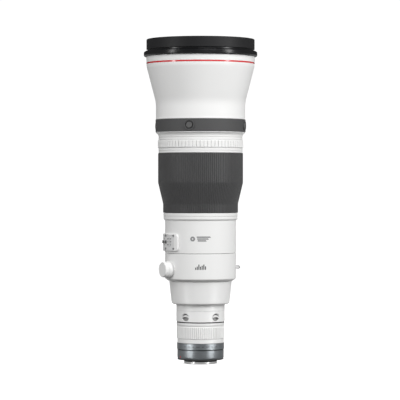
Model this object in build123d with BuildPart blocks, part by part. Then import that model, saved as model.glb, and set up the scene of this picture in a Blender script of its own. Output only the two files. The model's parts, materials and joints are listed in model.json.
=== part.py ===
from build123d import *
from math import atan2, cos, degrees, radians, sin
import os

# Super telephoto camera lens, 168 mm across the front and 472 mm from mount flange to front rim.
#
# Frame: origin at the centre of the mount flange, +Z along the optical axis to the front,
# -Y the top side of the lens, +Y the side with the tripod foot. Millimetres.
# An azimuth is measured round the axis from -Y, positive towards +X.

os.makedirs("parts", exist_ok=True)

# ---- driving dimensions ------------------------------------------------------------------
GAP = 0.3                      # running clearance between pieces that move past each other

FRONT_Z = 472.0                # front edge of the rim above the flange
RIM_BASE_Z = 446.5             # joint between front rim and front barrel
FLANGE_TOP_Z = 453.6           # front edge of the rim's wide flange
HOOD_BAND_Z = 456.0            # rear edge of the band that the hood clamps on
HOOD_R = 80.0                  # hood band
RIM_FLANGE_R = 84.0            # widest place of the lens
RIM_GROOVE_R = 77.8
RIM_BORE_R = 76.0

RED_LINE_Z = 436.4
RED_LINE_W = 2.4
FRONT_BARREL_R = 80.4          # at the rim
WALL = 2.8                     # barrel walls
ELEMENT_R = 76.4
ELEMENT_SEAT_Z = 431.0
ELEMENT_EDGE = 7.0             # edge thickness of the front element

BELT_R = 66.6
BELT_TOP_Z = 353.3
BELT_BASE_Z = 334.7
BELT_BORE_R = 64.0
NECK_BORE_R = 61.0
NECK_R = 66.0                  # white barrel next to the belt
BUTTON_Z = 344.0
BUTTON_AZIMUTHS = (-15, 75, 165, -105)
BUTTON_R = 4.35
BUTTON_TRAVEL = 0.8

SLEEVE_R = 62.1                # white barrel on both sides of the playback ring
PLAYBACK_TOP_Z = 323.0
PLAYBACK_BASE_Z = 311.5
PLAYBACK_R = 63.2
PLAYBACK_RIBS = 72
MIDDLE_BASE_Z = 304.0

GRIP_TOP_Z = 303.7
GRIP_BASE_Z = 215.9
GRIP_R = 62.8                  # wide front part of the focusing grip
GRIP_CONE_TOP_Z = 260.0
GRIP_CONE_BASE_Z = 229.0
GRIP_SMALL_R = 55.4
GRIP_WALL = 1.5
TUBE_R = 52.2                  # fixed tube under the focusing ring
TUBE_BORE_R = 49.5

SWITCH_R = 52.5                # switch barrel and tripod collar
SWITCH_TOP_Z = 215.5
SWITCH_BASE_Z = 156.5
SHOULDER_R = 54.8              # collar-like ring under the focusing grip
SHOULDER_BASE_Z = 204.3
PANEL_AZIMUTH = -83
PANEL_Z = 172.2
PANEL_LENGTH = 25.6
PANEL_HALF_ANGLE = 52.0
PANEL_R = 54.6
PLATE_HALF_ANGLE = 42.0
PLATE_R = 55.4
PLATE_SCREW_ANGLES = (-37.6, -16.2, 16.2, 37.6)   # from the middle of the panel
PLATE_SCREW_RISE = 9.6
SWITCH_Z = 172.9
SWITCH_STEP_ANGLE = 13.0       # angle between two slide switches
SWITCH_TRAVEL = 2.2            # each way, for a switch with three places

COLLAR_TOP_Z = 156.0
COLLAR_BASE_Z = 115.0
COLLAR_BORE_R = 49.0
BEARING_R = 48.7
BEARING_NECK_R = 45.2
BEARING_BORE_R = 42.6
KNOB_AZIMUTH = -60
KNOB_Z = 132.6
KNOB_FACE_R = 65.0             # distance of the knob's face from the axis
KNOB_RADIUS = 11.3             # ribbed front part of the knob
KNOB_SKIRT_RADIUS = 12.8
KNOB_SKIRT_R = 59.3            # distance of the skirt's front edge from the axis
FOOT_FACE_Y = 98.0
FOOT_WIDTH = 40.0

CONE_TOP_Z = 114.7
CONE_TOP_R = 46.2
CONE_BASE_R = 42.8
CONE_BASE_Z = 80.9
DRAWER_BASE_Z = 87.0           # slot for the filter drawer
DRAWER_TOP_Z = 109.0
DRAWER_HALF_WIDTH = 30.0
FILTER_Z = 98.0
FILTER_R = 26.0

REAR_R = 36.05
REAR_GROOVE_Z = 71.5
REAR_BASE_Z = 55.2
EYELET_AZIMUTHS = (-39.4, 39.4)
EYELET_Z = 62.0
CONTROL_TOP_Z = 54.0
CONTROL_BASE_Z = 24.0
CONTROL_BORE_R = 33.3
CONTROL_RIBS = 50
MOUNT_R = 35.0
MOUNT_TOP_Z = 23.7
MOUNT_BASE_Z = 0.5             # rear edge of the grey collar, round the flange
MOUNT_GROOVE_Z = 13.5
MOUNT_BORE_R = 28.0

FLANGE_R = 32.6
FLANGE_THICKNESS = 1.8
SPIGOT_R = 24.4
SPIGOT_BORE_R = 21.8
SPIGOT_DEPTH = 7.0
CLAW_R = 26.6
MOUNT_SCREW_CIRCLE_R = 29.4

CAM_R = 48.7                   # focusing cam ring
CAM_BORE_R = 45.7
CAM_BASE_Z = 172.0
CAM_TOP_Z = 206.0
CAM_TURN = 60                  # degrees from infinity to the nearest focus
CELL_TRAVEL = 12.0             # the focusing group moves this far to the rear
CELL_Z = 196.0                 # focusing group at infinity
CELL_R = 45.2
PIN_R = 1.5

STABILISER_Z = 148.0


# ---- helpers -----------------------------------------------------------------------------
def radial_plane(azimuth, radius, height):
    """Plane facing outwards from the barrel: local x goes round it, local y to the front."""
    turn = radians(azimuth)
    outward = (sin(turn), -cos(turn), 0)
    origin = (radius * sin(turn), -radius * cos(turn), height)
    return Plane(origin=origin, x_dir=(cos(turn), sin(turn), 0), z_dir=outward)


def section(*points):
    """Closed half section from (radius, height) corners, to be turned about the optical axis."""
    with BuildSketch(Plane.XZ) as half:
        with BuildLine():
            Polyline(*points, close=True)
        make_face()
    return half.sketch


def band(inner, outer, base, top):
    """Half section of a plain ring."""
    return section((inner, base), (outer, base), (outer, top), (inner, top))


def gear_outline(outer, inner, count, groove_width, groove_depth):
    """Flat ring with square grooves round its outside."""
    with BuildSketch() as outline:
        Circle(outer)
        with PolarLocations(outer, count):
            Rectangle(2 * groove_depth, groove_width, mode=Mode.SUBTRACT)
        Circle(inner, mode=Mode.SUBTRACT)
    return outline.sketch


def curved_patch(azimuth, height, half_angle, length, corner, inner, outer):
    """Rounded rectangle that follows the barrel, between two radii."""
    width = 2 * inner * sin(radians(half_angle))
    with BuildPart() as patch:
        with BuildSketch(radial_plane(azimuth, 0.4 * inner, height)):
            RectangleRounded(width, length, corner)
        extrude(amount=outer)
        with BuildSketch(Plane.XY.offset(height - length)):
            Circle(outer)
            Circle(inner, mode=Mode.SUBTRACT)
        extrude(amount=2 * length, mode=Mode.INTERSECT)
    return patch.part


def save(piece, name):
    """Label a finished piece and write its STEP file."""
    piece.label = name
    export_step(piece, f"parts/{name}.step")


# ---- front group -------------------------------------------------------------------------
with BuildPart() as front_rim:
    revolve(section(
        (RIM_BORE_R, RIM_BASE_Z), (RIM_FLANGE_R - 1, RIM_BASE_Z), (RIM_FLANGE_R, RIM_BASE_Z + 1.2),
        (RIM_FLANGE_R, FLANGE_TOP_Z - 1.2), (RIM_FLANGE_R - 1.2, FLANGE_TOP_Z - 0.4),
        (RIM_GROOVE_R, FLANGE_TOP_Z), (RIM_GROOVE_R, HOOD_BAND_Z),
        (HOOD_R, HOOD_BAND_Z), (HOOD_R, FRONT_Z - 1.5), (HOOD_R - 1.5, FRONT_Z),
        (RIM_BORE_R + 1, FRONT_Z), (RIM_BORE_R, FRONT_Z - 1),
    ), axis=Axis.Z)
save(front_rim.part, "front_rim")

ELEMENT_EDGE_Z = ELEMENT_SEAT_Z + ELEMENT_EDGE
DOME_R = 368.0                 # front surface of the front element
HOLLOW_R = 865.0               # its rear surface
DOME_TOP_Z = ELEMENT_EDGE_Z + 7.6
with BuildPart() as front_element:
    revolve(section((0, ELEMENT_SEAT_Z), (ELEMENT_R, ELEMENT_SEAT_Z), (ELEMENT_R, ELEMENT_EDGE_Z),
                    (ELEMENT_R - 2, ELEMENT_EDGE_Z), (ELEMENT_R - 2, DOME_TOP_Z + 1),
                    (0, DOME_TOP_Z + 1)), axis=Axis.Z)
    with Locations((0, 0, DOME_TOP_Z - DOME_R)):
        Sphere(DOME_R, mode=Mode.INTERSECT)
    with Locations((0, 0, ELEMENT_SEAT_Z + 3 - HOLLOW_R)):
        Sphere(HOLLOW_R, mode=Mode.SUBTRACT)
save(front_element.part, "front_element")

with BuildPart() as front_retaining_ring:
    revolve(section(
        (ELEMENT_R - 1.8, ELEMENT_EDGE_Z), (ELEMENT_R, ELEMENT_EDGE_Z), (ELEMENT_R, RIM_BASE_Z),
        (ELEMENT_R - 1.4, RIM_BASE_Z), (ELEMENT_R - 1.8, RIM_BASE_Z - 1),
    ), axis=Axis.Z)
    with BuildSketch(Plane.XY.offset(RIM_BASE_Z)):
        with PolarLocations(ELEMENT_R, 2):
            Rectangle(5, 4)
    extrude(amount=-2, mode=Mode.SUBTRACT)
save(front_retaining_ring.part, "front_retaining_ring")

with BuildPart() as red_line_ring:
    revolve(band(79.0, 79.95, RED_LINE_Z - RED_LINE_W / 2, RED_LINE_Z + RED_LINE_W / 2), axis=Axis.Z)
save(red_line_ring.part, "red_line_ring")

FLARE_BASE_Z = 378.5           # the flare starts here, at the radius of the neck
FLARE_TOP_Z = 431.0
FLARE_TOP_R = 79.7
with BuildPart() as front_barrel:
    with BuildSketch(Plane.XZ) as shell_section:
        with BuildLine():
            Polyline(
                (NECK_R, BELT_TOP_Z), (NECK_R, FLARE_BASE_Z), (FLARE_TOP_R, FLARE_TOP_Z),
                (FRONT_BARREL_R, RIM_BASE_Z), (ELEMENT_R, RIM_BASE_Z), (ELEMENT_R, ELEMENT_SEAT_Z),
                (ELEMENT_R - 4.5, ELEMENT_SEAT_Z), (ELEMENT_R - 4.5, ELEMENT_SEAT_Z - 3),
                (NECK_R - WALL, FLARE_BASE_Z), (NECK_R - WALL, BELT_TOP_Z), close=True,
            )
        make_face()
        fillet([v for v in shell_section.vertices() if abs(v.Z - FLARE_BASE_Z) < 0.1], 50)
        fillet([v for v in shell_section.vertices() if abs(v.X - FLARE_TOP_R) < 0.01], 70)
    revolve(axis=Axis.Z)
    revolve(band(79.0, 90, RED_LINE_Z - RED_LINE_W / 2, RED_LINE_Z + RED_LINE_W / 2),
            axis=Axis.Z, mode=Mode.SUBTRACT)
save(front_barrel.part, "front_barrel")

# ---- belt with the four stop buttons -----------------------------------------------------
BOSS_HEIGHT_R = BELT_R + 1.0
with BuildPart() as button_belt:
    revolve(band(BELT_BORE_R, BELT_R, BELT_BASE_Z, BELT_TOP_Z), axis=Axis.Z)
    for azimuth in BUTTON_AZIMUTHS:
        with BuildSketch(radial_plane(azimuth, BELT_BORE_R + 1, BUTTON_Z)):
            Circle(8.0)
        extrude(amount=BOSS_HEIGHT_R - BELT_BORE_R - 1)
        with BuildSketch(radial_plane(azimuth, BELT_R - 1.2, BUTTON_Z)):
            Circle(6.1)
        extrude(amount=5, mode=Mode.SUBTRACT)
        with BuildSketch(radial_plane(azimuth, BELT_BORE_R - 2, BUTTON_Z)):
            Circle(BUTTON_R + GAP)
        extrude(amount=10, mode=Mode.SUBTRACT)
save(button_belt.part, "button_belt")

for number, azimuth in enumerate(BUTTON_AZIMUTHS, start=1):
    with BuildPart() as stop_button:
        with BuildSketch(radial_plane(azimuth, NECK_BORE_R - 1.7, BUTTON_Z)):
            Circle(BUTTON_R + 1.5)
        extrude(amount=1.2)
        with BuildSketch(radial_plane(azimuth, NECK_BORE_R - 1.7, BUTTON_Z)):
            Circle(BUTTON_R)
        extrude(amount=BOSS_HEIGHT_R - NECK_BORE_R + 1.9)
        rims = stop_button.edges().filter_by(GeomType.CIRCLE)
        fillet(rims.sort_by_distance((0, 0, BUTTON_Z))[-1], 0.6)
    save(stop_button.part, f"stop_button_{number}")

# ---- middle barrel and playback ring -----------------------------------------------------
PLAYBACK_BED_R = 60.4
PLAYBACK_BORE_R = 60.8
SWEEP_BASE_Z = 327.2           # lower end of the concave step under the belt
with BuildPart() as middle_barrel:
    with BuildSketch(Plane.XZ):
        with BuildLine():
            Polyline(
                (NECK_BORE_R, BELT_TOP_Z), (BELT_BORE_R, BELT_TOP_Z), (BELT_BORE_R, BELT_BASE_Z),
                (NECK_R, BELT_BASE_Z), (NECK_R, BELT_BASE_Z - 0.6),
            )
            ThreePointArc((NECK_R, BELT_BASE_Z - 0.6), (63.2, 331.2), (SLEEVE_R, SWEEP_BASE_Z))
            Polyline(
                (SLEEVE_R, SWEEP_BASE_Z), (SLEEVE_R, PLAYBACK_TOP_Z + GAP),
                (PLAYBACK_BED_R, PLAYBACK_TOP_Z + GAP),
                (PLAYBACK_BED_R, PLAYBACK_BASE_Z - GAP), (SLEEVE_R, PLAYBACK_BASE_Z - GAP),
                (SLEEVE_R, MIDDLE_BASE_Z), (TUBE_BORE_R, MIDDLE_BASE_Z), (TUBE_BORE_R, MIDDLE_BASE_Z + 3),
                (58.2, MIDDLE_BASE_Z + 3), (58.2, BELT_BASE_Z - 4), (NECK_BORE_R, BELT_BASE_Z),
                (NECK_BORE_R, BELT_TOP_Z),
            )
        make_face()
    revolve(axis=Axis.Z)
    for azimuth in BUTTON_AZIMUTHS:
        with BuildSketch(radial_plane(azimuth, NECK_BORE_R - 5, BUTTON_Z)):
            Circle(BUTTON_R + GAP)
        extrude(amount=12, mode=Mode.SUBTRACT)
save(middle_barrel.part, "middle_barrel")

with BuildPart() as playback_ring:
    with BuildSketch(Plane.XY.offset(PLAYBACK_BASE_Z)):
        add(gear_outline(PLAYBACK_R, PLAYBACK_BORE_R, PLAYBACK_RIBS, 1.4, 0.9))
    extrude(amount=PLAYBACK_TOP_Z - PLAYBACK_BASE_Z - 1.5)
    revolve(band(PLAYBACK_BORE_R, PLAYBACK_R - 0.4, PLAYBACK_TOP_Z - 1.5, PLAYBACK_TOP_Z),
            axis=Axis.Z)
save(playback_ring.part, "playback_ring")

# ---- focusing ring -----------------------------------------------------------------------
RING_BORE_R = TUBE_R + 0.4
with BuildPart() as focus_ring:
    inner_r = GRIP_R - GRIP_WALL
    small_r = GRIP_SMALL_R - GRIP_WALL
    revolve(section(
        (RING_BORE_R, GRIP_BASE_Z), (small_r, GRIP_BASE_Z), (small_r, GRIP_CONE_BASE_Z),
        (inner_r, GRIP_CONE_TOP_Z), (inner_r, GRIP_TOP_Z), (RING_BORE_R, GRIP_TOP_Z),
        (RING_BORE_R, GRIP_TOP_Z - 5), (inner_r - 2, GRIP_TOP_Z - 5), (inner_r - 2, GRIP_CONE_TOP_Z),
        (RING_BORE_R, GRIP_CONE_BASE_Z + 3),
    ), axis=Axis.Z)
save(focus_ring.part, "focus_ring")

with BuildPart() as focus_grip:
    revolve(section(
        (small_r, GRIP_BASE_Z), (GRIP_SMALL_R, GRIP_BASE_Z), (GRIP_SMALL_R, GRIP_CONE_BASE_Z),
        (GRIP_R, GRIP_CONE_TOP_Z), (GRIP_R, GRIP_TOP_Z), (inner_r, GRIP_TOP_Z),
        (inner_r, GRIP_CONE_TOP_Z), (small_r, GRIP_CONE_BASE_Z),
    ), axis=Axis.Z)
save(focus_grip.part, "focus_grip")

# ---- switch barrel with the raised panel -------------------------------------------------
panel_pad = curved_patch(PANEL_AZIMUTH, PANEL_Z, PANEL_HALF_ANGLE, PANEL_LENGTH, 4,
                         SWITCH_R - 1, PANEL_R)
plate_blank = curved_patch(PANEL_AZIMUTH, PANEL_Z, PLATE_HALF_ANGLE, PANEL_LENGTH - 2.6, 2.5,
                           PANEL_R, PLATE_R)
SWITCHES = {                   # name: place on the panel, counted from its middle
    "focus_mode_switch": 1.27,
    "focus_range_switch": 0.27,
    "stabiliser_switch": -0.73,
    "stabiliser_mode_switch": -1.73,
    "preset_switch": -2.73,
}
switch_azimuths = [PANEL_AZIMUTH + place * SWITCH_STEP_ANGLE for place in SWITCHES.values()]
screw_planes = [
    radial_plane(PANEL_AZIMUTH + angle, PLATE_R, SWITCH_Z + end * PLATE_SCREW_RISE)
    for angle in PLATE_SCREW_ANGLES for end in (-1, 1)
]
POCKET_FLOOR_R = 51.6
STEM_WIDTH = 2.6

with BuildPart() as switch_barrel:
    revolve(section(
        (TUBE_BORE_R, SWITCH_BASE_Z), (SWITCH_R, SWITCH_BASE_Z), (SWITCH_R, SHOULDER_BASE_Z),
        (SHOULDER_R, SHOULDER_BASE_Z + 2.4), (SHOULDER_R, SWITCH_TOP_Z), (TUBE_R, SWITCH_TOP_Z),
        (TUBE_R, MIDDLE_BASE_Z), (TUBE_BORE_R, MIDDLE_BASE_Z),
    ), axis=Axis.Z)
    add(panel_pad)
    for azimuth in switch_azimuths:
        with BuildSketch(radial_plane(azimuth, POCKET_FLOOR_R, SWITCH_Z)):
            Rectangle(6.2, 13)
        extrude(amount=6, mode=Mode.SUBTRACT)
    for plane in screw_planes:
        with BuildSketch(plane.offset(-2.2)):
            Circle(0.9)
        extrude(amount=5, mode=Mode.SUBTRACT)
    with BuildSketch(Plane.XY.offset(CELL_Z - CELL_TRAVEL - 4)):
        with PolarLocations(TUBE_BORE_R, 3, start_angle=90):
            Rectangle(3.0, 2 * (PIN_R + 0.4))
    extrude(amount=CELL_TRAVEL + 8, mode=Mode.SUBTRACT)
save(switch_barrel.part, "switch_barrel")

with BuildPart() as switch_plate:
    add(plate_blank)
    for azimuth in switch_azimuths:
        with BuildSketch(radial_plane(azimuth, PANEL_R - 2, SWITCH_Z)):
            Rectangle(STEM_WIDTH + 0.8, 3 + 2 * SWITCH_TRAVEL + 0.8)
        extrude(amount=4, mode=Mode.SUBTRACT)
    for plane in screw_planes:
        with BuildSketch(plane.offset(-2)):
            Circle(0.9)
        extrude(amount=4, mode=Mode.SUBTRACT)
save(switch_plate.part, "switch_plate")

with BuildPart() as switch_plate_screws:
    for plane in screw_planes:
        with BuildSketch(plane.offset(0.12)):
            Circle(1.7)
        extrude(amount=0.6)
        with BuildSketch(plane.offset(-2)):
            Circle(0.9)
        extrude(amount=2.2)
        with BuildSketch(plane.offset(0.4)):
            Rectangle(2.4, 0.5)
            Rectangle(0.5, 2.4)
        extrude(amount=1, mode=Mode.SUBTRACT)
save(switch_plate_screws.part, "switch_plate_screws")

for name, azimuth in zip(SWITCHES, switch_azimuths):
    with BuildPart() as slide_switch:
        with BuildSketch(radial_plane(azimuth, POCKET_FLOOR_R + 0.4, SWITCH_Z)):
            Rectangle(5.4, 7.4)
        extrude(amount=PANEL_R - POCKET_FLOOR_R - 0.9)
        with BuildSketch(radial_plane(azimuth, POCKET_FLOOR_R + 1, SWITCH_Z)):
            Rectangle(STEM_WIDTH, 3)
        extrude(amount=PLATE_R - POCKET_FLOOR_R)
        with BuildSketch(radial_plane(azimuth, PLATE_R + 0.3, SWITCH_Z)):
            RectangleRounded(5.0, 4.4, 0.8)
        extrude(amount=1.5, taper=12)
    save(slide_switch.part, name)

# ---- tripod collar, its bearing and its clamp --------------------------------------------
CLAMP_HOLE_R = 4.4
LIP_TOP_Z = COLLAR_BASE_Z + 3.5     # inward lip that keeps the collar on its bearing
CLAMP_SHOE_R = 4.0
KNOB_BASE_R = SWITCH_R + 0.5
FOOT_PAD_Y = 56.0
FOOT_PLATE_Y = 89.0
FOOT_TOP_Z = 235.0
FOOT_BASE_Z = 114.0

with BuildPart() as collar_bearing:
    revolve(section(
        (BEARING_BORE_R, CONE_TOP_Z), (BEARING_NECK_R, CONE_TOP_Z), (BEARING_NECK_R, LIP_TOP_Z + GAP),
        (BEARING_R, LIP_TOP_Z + GAP), (BEARING_R, SWITCH_BASE_Z), (BEARING_BORE_R, SWITCH_BASE_Z),
    ), axis=Axis.Z)
save(collar_bearing.part, "collar_bearing")

foot_screw_points = [(x, z) for x in (-16, 16) for z in (122, 150)]
with BuildPart() as tripod_collar:
    revolve(section(
        (BEARING_NECK_R + GAP, COLLAR_BASE_Z), (46.6, COLLAR_BASE_Z), (SWITCH_R, COLLAR_BASE_Z + 4),
        (SWITCH_R, COLLAR_TOP_Z), (COLLAR_BORE_R, COLLAR_TOP_Z), (COLLAR_BORE_R, LIP_TOP_Z),
        (BEARING_NECK_R + GAP, LIP_TOP_Z),
    ), axis=Axis.Z)
    with BuildSketch(Plane.XZ.offset(-FOOT_PAD_Y)):
        with Locations((0, 136)):
            RectangleRounded(42, 38, 4)
    extrude(amount=8)
    with BuildSketch(radial_plane(KNOB_AZIMUTH, COLLAR_BORE_R - 1, KNOB_Z)):
        Circle(KNOB_SKIRT_RADIUS)
    extrude(amount=KNOB_BASE_R - COLLAR_BORE_R + 1)
    with BuildSketch(Plane.XY.offset(LIP_TOP_Z)):
        Circle(COLLAR_BORE_R)
    extrude(amount=COLLAR_TOP_Z - LIP_TOP_Z, mode=Mode.SUBTRACT)
    with BuildSketch(radial_plane(KNOB_AZIMUTH, 40, KNOB_Z)):
        Circle(CLAMP_HOLE_R)
    extrude(amount=30, mode=Mode.SUBTRACT)
    with BuildSketch(Plane.XZ.offset(-FOOT_PAD_Y - 1)):
        with Locations(*foot_screw_points):
            Circle(2.0)
    extrude(amount=6.5, mode=Mode.SUBTRACT)
save(tripod_collar.part, "tripod_collar")

with BuildPart() as clamp_shoe:
    with BuildSketch(radial_plane(KNOB_AZIMUTH, 40, KNOB_Z)):
        Circle(CLAMP_SHOE_R)
    extrude(amount=51.2 - 40)
    with BuildSketch(Plane.XY.offset(KNOB_Z - 6)):
        Circle(BEARING_R + 0.2)
    extrude(amount=12, mode=Mode.SUBTRACT)
save(clamp_shoe.part, "clamp_shoe")

STUD_R = 3.0
STUD_DEPTH = 8.0
with BuildPart() as collar_knob:
    with BuildSketch(radial_plane(KNOB_AZIMUTH, KNOB_BASE_R + GAP, KNOB_Z)):
        Circle(KNOB_RADIUS)
        with PolarLocations(KNOB_RADIUS + 0.55, 24):
            Circle(0.9, mode=Mode.SUBTRACT)
    extrude(amount=KNOB_FACE_R - KNOB_BASE_R - GAP)
    chamfer(collar_knob.faces().sort_by_distance((0, 0, KNOB_Z))[-1].edges(), 0.6)
    with BuildSketch(radial_plane(KNOB_AZIMUTH, KNOB_BASE_R + GAP, KNOB_Z)):
        Circle(KNOB_SKIRT_RADIUS)
    extrude(amount=KNOB_SKIRT_R - KNOB_BASE_R - GAP)
    with BuildSketch(radial_plane(KNOB_AZIMUTH, KNOB_BASE_R, KNOB_Z)):
        Circle(STUD_R)
    extrude(amount=STUD_DEPTH, mode=Mode.SUBTRACT)
save(collar_knob.part, "collar_knob")

STUD_END_R = 52.2
with BuildPart() as knob_stud:
    with BuildSketch(radial_plane(KNOB_AZIMUTH, STUD_END_R, KNOB_Z)):
        Circle(STUD_R)
    extrude(amount=KNOB_BASE_R + STUD_DEPTH - STUD_END_R)
save(knob_stud.part, "knob_stud")

LOOP_Z = 135.3
with BuildPart() as strap_loop:
    with BuildSketch(Plane.XZ):
        with Locations((SWITCH_R + 1.6, LOOP_Z)):
            SlotOverall(9.2, 4.8)
        with Locations((SWITCH_R + 2.4, LOOP_Z)):
            SlotOverall(5.6, 2.4, mode=Mode.SUBTRACT)
    extrude(amount=1.6, both=True)
    with BuildSketch(Plane.XY.offset(LOOP_Z - 5)):
        Circle(SWITCH_R)
    extrude(amount=10, mode=Mode.SUBTRACT)
save(strap_loop.part, "strap_loop")

with BuildPart() as tripod_foot:
    with BuildSketch(Plane.YZ):
        with BuildLine():
            Polyline(
                (FOOT_PAD_Y, 124), (FOOT_PLATE_Y - 12, 124), (FOOT_PLATE_Y, FOOT_BASE_Z),
                (FOOT_FACE_Y, FOOT_BASE_Z), (FOOT_FACE_Y, FOOT_TOP_Z), (FOOT_PLATE_Y, FOOT_TOP_Z),
                (FOOT_PLATE_Y, 166), (FOOT_PLATE_Y - 14, 148), (FOOT_PAD_Y, 148), close=True,
            )
        make_face()
    extrude(amount=11, both=True)
    with BuildSketch(Plane.XZ.offset(-FOOT_PAD_Y)):
        with Locations((0, 136)):
            RectangleRounded(42, 38, 4)
    extrude(amount=-6)
    with BuildSketch(Plane.XZ.offset(-FOOT_FACE_Y)):
        with Locations((0, (FOOT_BASE_Z + FOOT_TOP_Z) / 2)):
            RectangleRounded(FOOT_WIDTH, FOOT_TOP_Z - FOOT_BASE_Z, 6)
    extrude(amount=FOOT_FACE_Y - FOOT_PLATE_Y)
    long_edges = tripod_foot.edges().filter_by(Axis.Z)
    fillet(long_edges.filter_by(lambda edge: abs(edge.center().Y - FOOT_FACE_Y) < 0.1), 1.5)
    with BuildSketch(Plane.XZ.offset(-FOOT_PAD_Y)):
        with Locations(*foot_screw_points):
            Circle(2.2)
    extrude(amount=-8, mode=Mode.SUBTRACT)
    with BuildSketch(Plane.XZ.offset(-FOOT_FACE_Y)):
        with Locations((0, 136)):
            Circle(2.55)
        with Locations((0, 205)):
            Circle(3.95)
    extrude(amount=12, mode=Mode.SUBTRACT)
save(tripod_foot.part, "tripod_foot")

with BuildPart() as foot_screws:
    with BuildSketch(Plane.XZ.offset(-FOOT_PAD_Y - 6)):
        with Locations(*foot_screw_points):
            Circle(3.5)
    extrude(amount=-4)
    with BuildSketch(Plane.XZ.offset(-FOOT_PAD_Y - 6)):
        with Locations(*foot_screw_points):
            Circle(2.0)
    extrude(amount=11)
    with BuildSketch(Plane.XZ.offset(-FOOT_PAD_Y - 10)):
        with Locations(*foot_screw_points):
            RegularPolygon(1.8, 6)
    extrude(amount=2.4, mode=Mode.SUBTRACT)
save(foot_screws.part, "foot_screws")

# ---- rear cone with the filter drawer ----------------------------------------------------
CONE_INNER_TOP_R = CONE_TOP_R - WALL - 0.4
CONE_INNER_BASE_R = CONE_BASE_R - WALL - 0.4
with BuildPart() as rear_cone:
    with BuildSketch(Plane.XZ) as cone_section:
        with BuildLine():
            Polyline(
                (CONE_INNER_TOP_R, CONE_TOP_Z), (CONE_TOP_R, CONE_TOP_Z), (CONE_BASE_R, CONE_BASE_Z),
                (30.0, CONE_BASE_Z), (30.0, CONE_BASE_Z + 3), (CONE_INNER_BASE_R, CONE_BASE_Z + 3),
                close=True,
            )
        make_face()
        fillet([v for v in cone_section.vertices() if abs(v.X - CONE_BASE_R) < 0.01], 3.5)
    revolve(axis=Axis.Z)
    with BuildSketch(Plane.XY.offset(DRAWER_BASE_Z)):
        with Locations((0, 40)):
            Rectangle(2 * DRAWER_HALF_WIDTH, 40)
    extrude(amount=DRAWER_TOP_Z - DRAWER_BASE_Z, mode=Mode.SUBTRACT)
save(rear_cone.part, "rear_cone")

FRAME_HALF_WIDTH = DRAWER_HALF_WIDTH - 1.2
with BuildPart() as drawer_cap:
    with BuildSketch(Plane.XY.offset(DRAWER_BASE_Z + GAP)):
        with Locations((0, 40)):
            Rectangle(2 * (DRAWER_HALF_WIDTH - GAP), 40)
    extrude(amount=DRAWER_TOP_Z - DRAWER_BASE_Z - 2 * GAP)
    revolve(section((33.0, CONE_BASE_Z), (CONE_BASE_R, CONE_BASE_Z), (CONE_TOP_R, CONE_TOP_Z),
                    (33.0, CONE_TOP_Z)), axis=Axis.Z, mode=Mode.INTERSECT)

with BuildPart() as filter_holder:
    with BuildSketch(Plane.XY.offset(FILTER_Z - 4)):
        Circle(FRAME_HALF_WIDTH)
        with Locations((0, 17)):
            Rectangle(2 * FRAME_HALF_WIDTH, 34)
        Circle(FILTER_R - 1, mode=Mode.SUBTRACT)
    extrude(amount=8)
    with BuildSketch(Plane.XY.offset(FILTER_Z)):
        Circle(FILTER_R)
    extrude(amount=5, mode=Mode.SUBTRACT)
    add(drawer_cap.part)
    with BuildSketch(Plane.XZ.offset(-40)):
        with Locations((-20, FILTER_Z), (20, FILTER_Z)):
            SlotOverall(12, 6, rotation=90)
    extrude(amount=-8, mode=Mode.SUBTRACT)
    with BuildSketch(Plane.XZ.offset(-40)):
        with Locations((0, FILTER_Z)):
            Circle(8)
    extrude(amount=-6.5)
save(filter_holder.part, "filter_holder")

with BuildPart() as drop_in_filter:
    with BuildSketch(Plane.XY.offset(FILTER_Z)):
        Circle(FILTER_R)
    extrude(amount=3)
    chamfer(drop_in_filter.edges(), 0.3)
save(drop_in_filter.part, "drop_in_filter")

# ---- rear barrel and control ring --------------------------------------------------------
REAR_BORE_R = 29.5
EYELET_WIDTH = 12.6
EYELET_LENGTH = 10.6
POCKET_DEPTH = 4.0
with BuildPart() as rear_barrel:
    revolve(section(
        (REAR_BORE_R, MOUNT_TOP_Z), (CONTROL_BORE_R - GAP, MOUNT_TOP_Z),
        (CONTROL_BORE_R - GAP, REAR_BASE_Z),
        (REAR_R, REAR_BASE_Z), (REAR_R, REAR_GROOVE_Z - 0.4), (REAR_R - 0.6, REAR_GROOVE_Z - 0.4),
        (REAR_R - 0.6, REAR_GROOVE_Z + 0.4), (REAR_R, REAR_GROOVE_Z + 0.4), (REAR_R, CONE_BASE_Z),
        (REAR_BORE_R, CONE_BASE_Z),
    ), axis=Axis.Z)
    for azimuth in EYELET_AZIMUTHS:
        with BuildSketch(radial_plane(azimuth, REAR_R - POCKET_DEPTH, EYELET_Z)):
            Ellipse(EYELET_WIDTH / 2, EYELET_LENGTH / 2)
        extrude(amount=10, mode=Mode.SUBTRACT)
save(rear_barrel.part, "rear_barrel")

with BuildPart() as strap_eyelets:
    for azimuth in EYELET_AZIMUTHS:
        with BuildSketch(radial_plane(azimuth, REAR_R - POCKET_DEPTH + 1.0, EYELET_Z)):
            Ellipse(0.44 * EYELET_WIDTH, 0.34 * EYELET_LENGTH)
            with Locations((0, -EYELET_LENGTH / 2)):
                Rectangle(EYELET_WIDTH, EYELET_LENGTH, mode=Mode.SUBTRACT)
            Rectangle(2 * EYELET_WIDTH, 1.4)
            with Locations((0, -0.7)):
                Ellipse(0.37 * EYELET_WIDTH, 1.5, mode=Mode.SUBTRACT)
            Ellipse(EYELET_WIDTH / 2, EYELET_LENGTH / 2, mode=Mode.INTERSECT)
        extrude(amount=2)
    with BuildSketch(Plane.XY.offset(EYELET_Z - EYELET_LENGTH)):
        Circle(REAR_R)
    extrude(amount=2 * EYELET_LENGTH, mode=Mode.INTERSECT)
save(strap_eyelets.part, "strap_eyelets")

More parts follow.
